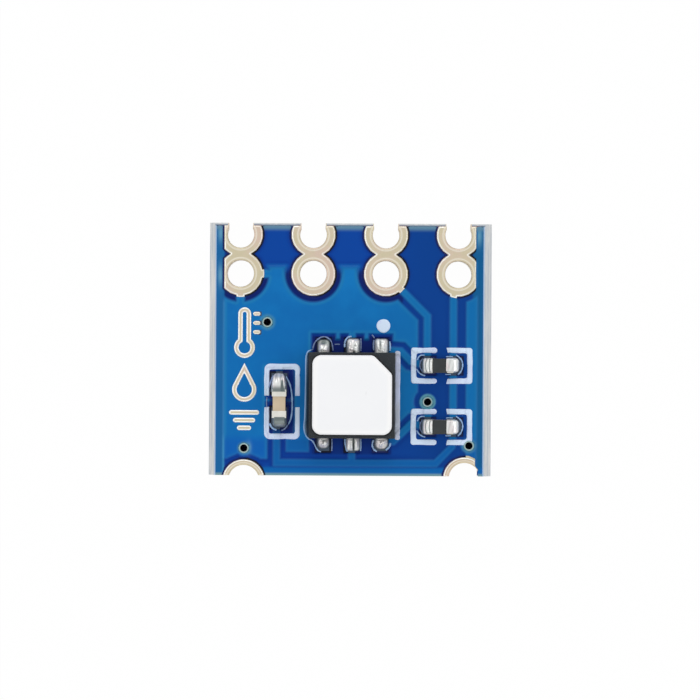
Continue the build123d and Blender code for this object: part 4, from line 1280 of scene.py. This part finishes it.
def buildLeadJoints():
    look = solderLook
    for number, joint in leadJoints.items():
        # leads 1 to 3 point away from the foot edge, and each joint reaches in under the package
        low, high = pixelBox(joint["box"])
        outward = 1 if number <= 3 else -1
        low, high = (low - (0, look["tuck"]), high) if outward > 0 else (low, high + (0, look["tuck"]))
        middle, size = (low + high) / 2, high - low

        def distance(x, y):
            return boxGap(x, y, middle, size[0], size[1], joint["corner"])

        def lumpy(x, y):
            # every lump is a bell over the land, across and along it
            across, along = (x - middle[0]) / size[0], (y - middle[1]) / size[1]
            bells = [
                tall * np.exp(-((across - u) / wide) ** 2 - ((along * outward - v) / long) ** 2)
                for u, v, wide, long, tall in joint["lumps"]
            ]
            return np.sum(bells, 0), along * outward

        def height(x, y, gap, marks):
            lumps, out = lumpy(x, y)
            slope = 1 - 0.45 * smooth(-0.1, 0.5, out)
            rise = look["leadRise"] * slope + lumps + 0.008 * ripple(x, y, 0.12, number)
            return foilTop + 0.012 + rollOver(gap, 0.42 * size[0]) * rise

        def survey(x, y):
            lumps, _ = lumpy(x, y)
            # painted shade in the hollows between lumps and along the joint's edge, leaving the lumps bright
            # as painted highlights
            dark = smooth(0.03, -0.05, lumps) + 0.55 * smooth(0.06, 0.01, distance(x, y))
            return {"dull": np.clip(dark, 0, 1)}

        piece = sheet(
            f"lead_joint_{number}", distance, low, high, look["spacing"],
            height, solderMaterial, foilTop, survey,
        )
        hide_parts(f"solder_lead_{number}")


def endSheet(name, box, side, along, rise, reach, corner, survey, replaced, bump=None, taper=0):
    # A chip's metal end and the fillet before it, in one skin. Outwards from the box's inner edge the
    # skin is flat and then falls as a quarter of a superellipse, and it rolls over at the flanks.
    # The taper is the share of the width that is lost at the outer end
    low, high = pixelBox(box)
    middle, size = (low + high) / 2, high - low
    length, width = size[along], size[1 - along]

    def local(x, y):
        place = (x, y)
        out = (place[along] - middle[along]) * side / length + 0.5
        return out, (place[1 - along] - middle[1 - along]) / width / (1 - taper * np.clip(out, 0, 1))

    def distance(x, y):
        out, across = local(x, y)
        centre, reached = (length / 2 - corner, 0), length + 2 * corner
        body = boxGap(out * length, across * width, centre, reached, width, corner)
        return np.minimum(body, out * length)

    def height(x, y, gap, marks):
        out, across = local(x, y)
        fall = np.clip((out * length - (length - reach)) / reach, 0, 1)
        flank = np.clip((0.5 - abs(across)) * width / 0.07, 0, 1)
        skin = (1 - fall ** 2.4) ** (1 / 2.4) * (1 - 0.35 * (1 - flank) ** 2)
        wave = bump(out, across) if bump else 0
        return foilTop + 0.01 + skin * (rise + wave)

    def localSurvey(x, y):
        return survey(*local(x, y))

    piece = sheet(
        name, distance, low, high, solderLook["spacing"], height, solderMaterial, foilTop, localSurvey
    )
    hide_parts(*replaced)


chipLook = {
    "coat": tone(50, 54, 56),
    "substrate": tone(214, 212, 204),
    "ends": tone(232, 230, 222),
    "ceramic": tone(204, 184, 156),
    "edge": 0.022,
    "resistorEnds": {
        1: {"left": (421.9, 358.0, 432.0, 373.2), "right": (446.1, 357.8, 459.5, 372.6)},
        2: {"left": (421.7, 419.4, 432.2, 434.2), "right": (446.4, 419.4, 459.2, 434.2)},
    },
    "capacitorUpper": (271.0, 373.0, 287.0, 391.6),
    "capacitorLower": (272.8, 416.8, 286.2, 427.4),
    "bandWidth": 0.125,  # of the bright bands on the resistors' left ends
}


def buildResistorEnds():
    look = chipLook
    top = nodeBox("resistor_1_ends")[1][2]
    rise = top - foilTop + 0.004

    def leftBands(out, across):
        # arcs that bulge outwards, two or three across the end
        run = (out * 0.37 + 0.55 * across ** 2 * 0.37) / look["bandWidth"]
        return np.sin(2 * pi * (run - 0.15))

    def rightBands(out, across):
        return np.sin(2 * pi * (out * 0.46 - 0.12 * across) / 0.15 + 0.6) * smooth(0.62, 0.4, out)

    for number, ends in look["resistorEnds"].items():
        for word, side, bands, corner, reach, dark, tall, replaced in (
            ("left", -1, leftBands, 0.12, 0.16, 0.75, 0.010, (f"resistor_{number}_ends",)),
            ("right", 1, rightBands, 0.20, 0.30, 0.2, 0.004, ()),
        ):
            # painted shade between the bright bands, at the outer end and along the flanks
            def survey(out, across):
                shade = dark * smooth(0.15, -0.55, bands(out, across))
                rim = 0.6 * smooth(0.86, 1.0, out) + 0.3 * smooth(0.42, 0.5, abs(across))
                return {"dull": np.clip(shade + rim, 0, 1)}

            endSheet(
                f"resistor_{number}_{word}_end", ends[word], side, 0, rise, reach, corner, survey,
                (f"solder_resistor_{number}_{word}", *replaced),
                lambda out, across: tall * bands(out, across),
            )


def buildCapacitorSolder():
    look = chipLook
    top = nodeBox("capacitor_ends")[1][2]

    def crown(out, across):
        # three ridges run down the fillet and end in points
        return 0.03 * np.cos(2 * pi * across * 2.6) * smooth(0.3, 0.9, out)

    def upperSurvey(out, across):
        # darker over the inner half; painted shade in the cleft and between the ridges
        dark = smooth(0.42, 0.12, out) * 0.9
        cleft = smooth(0.10, 0.16, across) * smooth(0.34, 0.30, across) * smooth(0.72, 0.55, out)
        ridges = 0.25 * (1 - np.cos(2 * pi * across * 2.6)) * smooth(0.5, 0.9, out)
        return {"dull": np.clip(dark + cleft + ridges, 0, 1)}

    def lowerSurvey(out, across):
        # a painted highlight on an otherwise dull grey fillet
        glint = np.exp(-((out - 0.75) / 0.12) ** 2 - (across / 0.3) ** 2)
        return {"dull": 0.95 - 0.35 * glint}

    endSheet(
        "capacitor_upper_solder", look["capacitorUpper"], 1, 1, top - foilTop + 0.004, 0.5, 0.2,
        upperSurvey, ("solder_capacitor_head",), crown, taper=0.3,
    )
    endSheet(
        "capacitor_lower_solder", look["capacitorLower"], -1, 1, top - foilTop + 0.002, 0.34, 0.16,
        lowerSurvey, ("solder_capacitor_foot",),
    )


def buildChips():
    look = chipLook
    dark, bright = clouded(look["coat"], 3000.0, 0.6), clouded(look["ends"], 3000.0, 0.3)
    pale, tan = clouded(look["substrate"], 2500.0, 0.15), clouded(look["ceramic"], 2500.0, 0.25)
    coat = makeMaterial("resistor_coat", dark, 0.5, specular=0.3, bump=(7000.0, 1.0, 0.004))
    white = makeMaterial("alumina", pale, 0.7, bump=(7000.0, 1.0, 0.002))
    tinned = makeMaterial("tinned_ends", bright, 0.32, metallic=0.4, bump=(4500.0, 1.5, 0.006))
    ceramic = makeMaterial("ceramic", tan, 0.45, bump=(6000.0, 1.0, 0.003))
    for number in (1, 2):
        softCopy(f"resistor_{number}_coat", 0.008, coat, 2)
        dress([f"resistor_{number}_substrate"], white)
    softCopy("capacitor_ends", look["edge"], tinned)
    softCopy("capacitor_body", 0.012, ceramic, 2)


buildLeadJoints()
buildResistorEnds()
buildCapacitorSolder()
dress([name for name in nodes if name.startswith("solder_") and "mask" not in name], solderMaterial)
print("solder done")
buildChips()
print("chips done")


# Flux residue: thin beads of clear flux left along the edge of each puddle, drawn in pale blue as painted
# highlights. Each path is in pixels of the photograph, with the bead's width in millimetres
fluxLook = {
    # pale blue painted highlights on the clear beads, brighter and fainter
    "bright": tone(150, 184, 226),
    "dim": tone(116, 136, 178),
    "pool": tone(26, 34, 44),
    "poolRim": tone(58, 104, 140),
    "roughness": 0.2,
    "height": 0.02,
    "resistorStep": 61.3,  # from resistor 1 down to resistor 2, in pixels
}
fluxPaths = {
    "lead_1": (0.05, "dim", ((312.8, 349.4), (314.0, 343.5), (318.0, 338.6), (324.0, 336.2), (330.0, 338.8),
                             (332.2, 344.0), (333.0, 351.0))),
    "lead_2_left": (0.06, "bright", ((344.6, 347.6), (344.8, 341.5), (347.5, 337.2), (351.6, 336.4))),
    "lead_2_right": (0.05, "dim", ((360.8, 338.4), (360.9, 345.0), (360.7, 351.4))),
    "lead_3_left": (0.06, "dim", ((374.0, 340.0), (373.4, 345.0), (373.7, 350.4))),
    "lead_3_right": (0.06, "bright", ((389.6, 341.4), (390.2, 346.0), (389.9, 351.0))),
    "lead_3_mark": (0.05, "dim", ((371.9, 334.8), (373.2, 336.2), (374.4, 338.2))),
    "lead_1_mark": (0.04, "dim", ((334.6, 344.5), (337.0, 344.3), (340.0, 344.4))),
    "lead_4_right": (0.05, "dim", ((331.8, 438.6), (332.0, 445.0), (331.7, 451.0))),
    "lead_5_left": (0.06, "bright", ((344.9, 438.6), (345.2, 445.0), (347.4, 451.6))),
    "lead_5_right": (0.05, "bright", ((360.7, 438.6), (360.8, 445.0), (360.5, 451.0))),
    "lead_6_left": (0.06, "bright", ((373.4, 439.6), (372.0, 444.6), (373.3, 449.2), (376.8, 451.6))),
    "lead_6_right": (0.07, "bright", ((390.3, 443.0), (389.6, 446.6), (385.8, 450.2))),
    "sensor_speck": (0.07, "bright", ((306.8, 425.6), (307.4, 425.2), (308.0, 424.8))),
    "sensor_left": (0.05, "bright", (
        (313.4, 349.6), (308.8, 350.6), (306.3, 354.4), (305.9, 364.0), (305.6, 383.0), (305.1, 416.8),
        (304.0, 424.4), (304.3, 431.5), (306.2, 436.4), (309.4, 439.2), (312.3, 440.4), (314.3, 443.6),
        (316.0, 448.0), (318.6, 451.2), (321.2, 451.8))),
    "capacitor_right": (0.055, "bright", ((286.2, 376.4), (288.8, 381.6), (290.6, 386.6), (291.7, 393.0),
                                          (292.1, 401.0), (292.1, 411.0), (290.8, 419.6), (288.2, 424.6))),
    "capacitor_left": (0.06, "dim", ((273.4, 375.4), (270.6, 381.6), (268.8, 388.0))),
    "capacitor_gap": (0.04, "dim", ((267.0, 397.0), (266.5, 402.0), (266.9, 407.4))),
    "capacitor_foot": (0.065, "bright", ((269.6, 423.4), (271.8, 428.0), (276.6, 430.0))),
    "capacitor_end": (0.05, "dim", ((287.6, 424.6), (285.6, 428.4), (281.4, 430.6))),
}
resistorFlux = {
    "left_top": (0.048, "bright", ((417.3, 360.0), (418.6, 356.8), (421.2, 355.0), (424.6, 355.4))),
    "left_foot": (0.048, "bright", ((416.6, 369.0), (418.8, 372.6), (421.9, 374.9), (425.4, 375.7))),
    "left_ring": (0.04, "dim", ((422.4, 358.8), (419.8, 362.6), (420.0, 368.0), (422.8, 371.8))),
    "right_top": (0.04, "bright", ((446.0, 356.8), (449.4, 356.5), (452.8, 356.7))),
    "right_arc": (0.048, "bright", (
        (456.0, 355.0), (459.8, 357.6), (462.3, 361.2), (462.9, 366.2), (461.3, 371.2), (457.8, 374.9))),
    "right_foot": (0.04, "bright", ((445.2, 374.3), (448.0, 374.5), (451.0, 374.2))),
}


def poolColour(tree):
    return mixColour(tree, attribute(tree, "inner"), fluxLook["poolRim"], fluxLook["pool"])


def buildPool(path, level):
    # A fillet of flux along the package's left side: a quarter-round hollow carried along the bead
    bead, package = smoothPath(atPixel(path), 3), nodeBox("sensor_mould")
    bead = bead[(bead[:, 1] < package[1][1] - 0.02) & (bead[:, 1] > package[0][1])]
    wall = package[0][0] + 0.01
    share = np.linspace(0, 1, 9)[None]
    x = bead[:, :1] + (wall - bead[:, :1]) * share
    y = np.repeat(bead[:, 1:], share.size, 1)
    taper = np.clip(np.minimum(np.arange(len(bead)), np.arange(len(bead))[::-1]) / 4, 0, 1)[:, None]
    z = level(x.ravel(), y.ravel()).reshape(x.shape) + 0.003 + 0.16 * share ** 2.2 * taper
    points = np.stack([x, y, z], -1).reshape(-1, 3)
    index = np.arange(len(points)).reshape(x.shape)
    faces = np.stack([index[:-1, :-1], index[1:, :-1], index[1:, 1:], index[:-1, 1:]], -1).reshape(-1, 4)
    material = makeMaterial("flux_pool", poolColour, 0.25, specular=0.3)
    piece = setMesh("flux_fillet", points, faces.tolist(), material)
    setMark(piece, "inner", np.repeat(smooth(0.1, 0.6, share), len(bead), 0).ravel())


def buildFlux():
    look = fluxLook
    residue = {
        word: makeMaterial(f"flux_{word}", clouded(look[word], 3000.0, 0.3), look["roughness"], specular=0.5)
        for word in ("bright", "dim")
    }
    paths = dict(fluxPaths)
    for number in (1, 2):
        for name, (width, word, path) in resistorFlux.items():
            moved = [(x, y + (number - 1) * look["resistorStep"]) for x, y in path]
            paths[f"resistor_{number}_{name}"] = (width, word, moved)
    for name, (width, word, path) in paths.items():
        ridge(f"flux_{name}", smoothPath(atPixel(path), 3), width, look["height"], maskRaised, residue[word])
    buildPool(fluxPaths["sensor_left"][2], maskRaised)


buildFlux()
print("flux done")
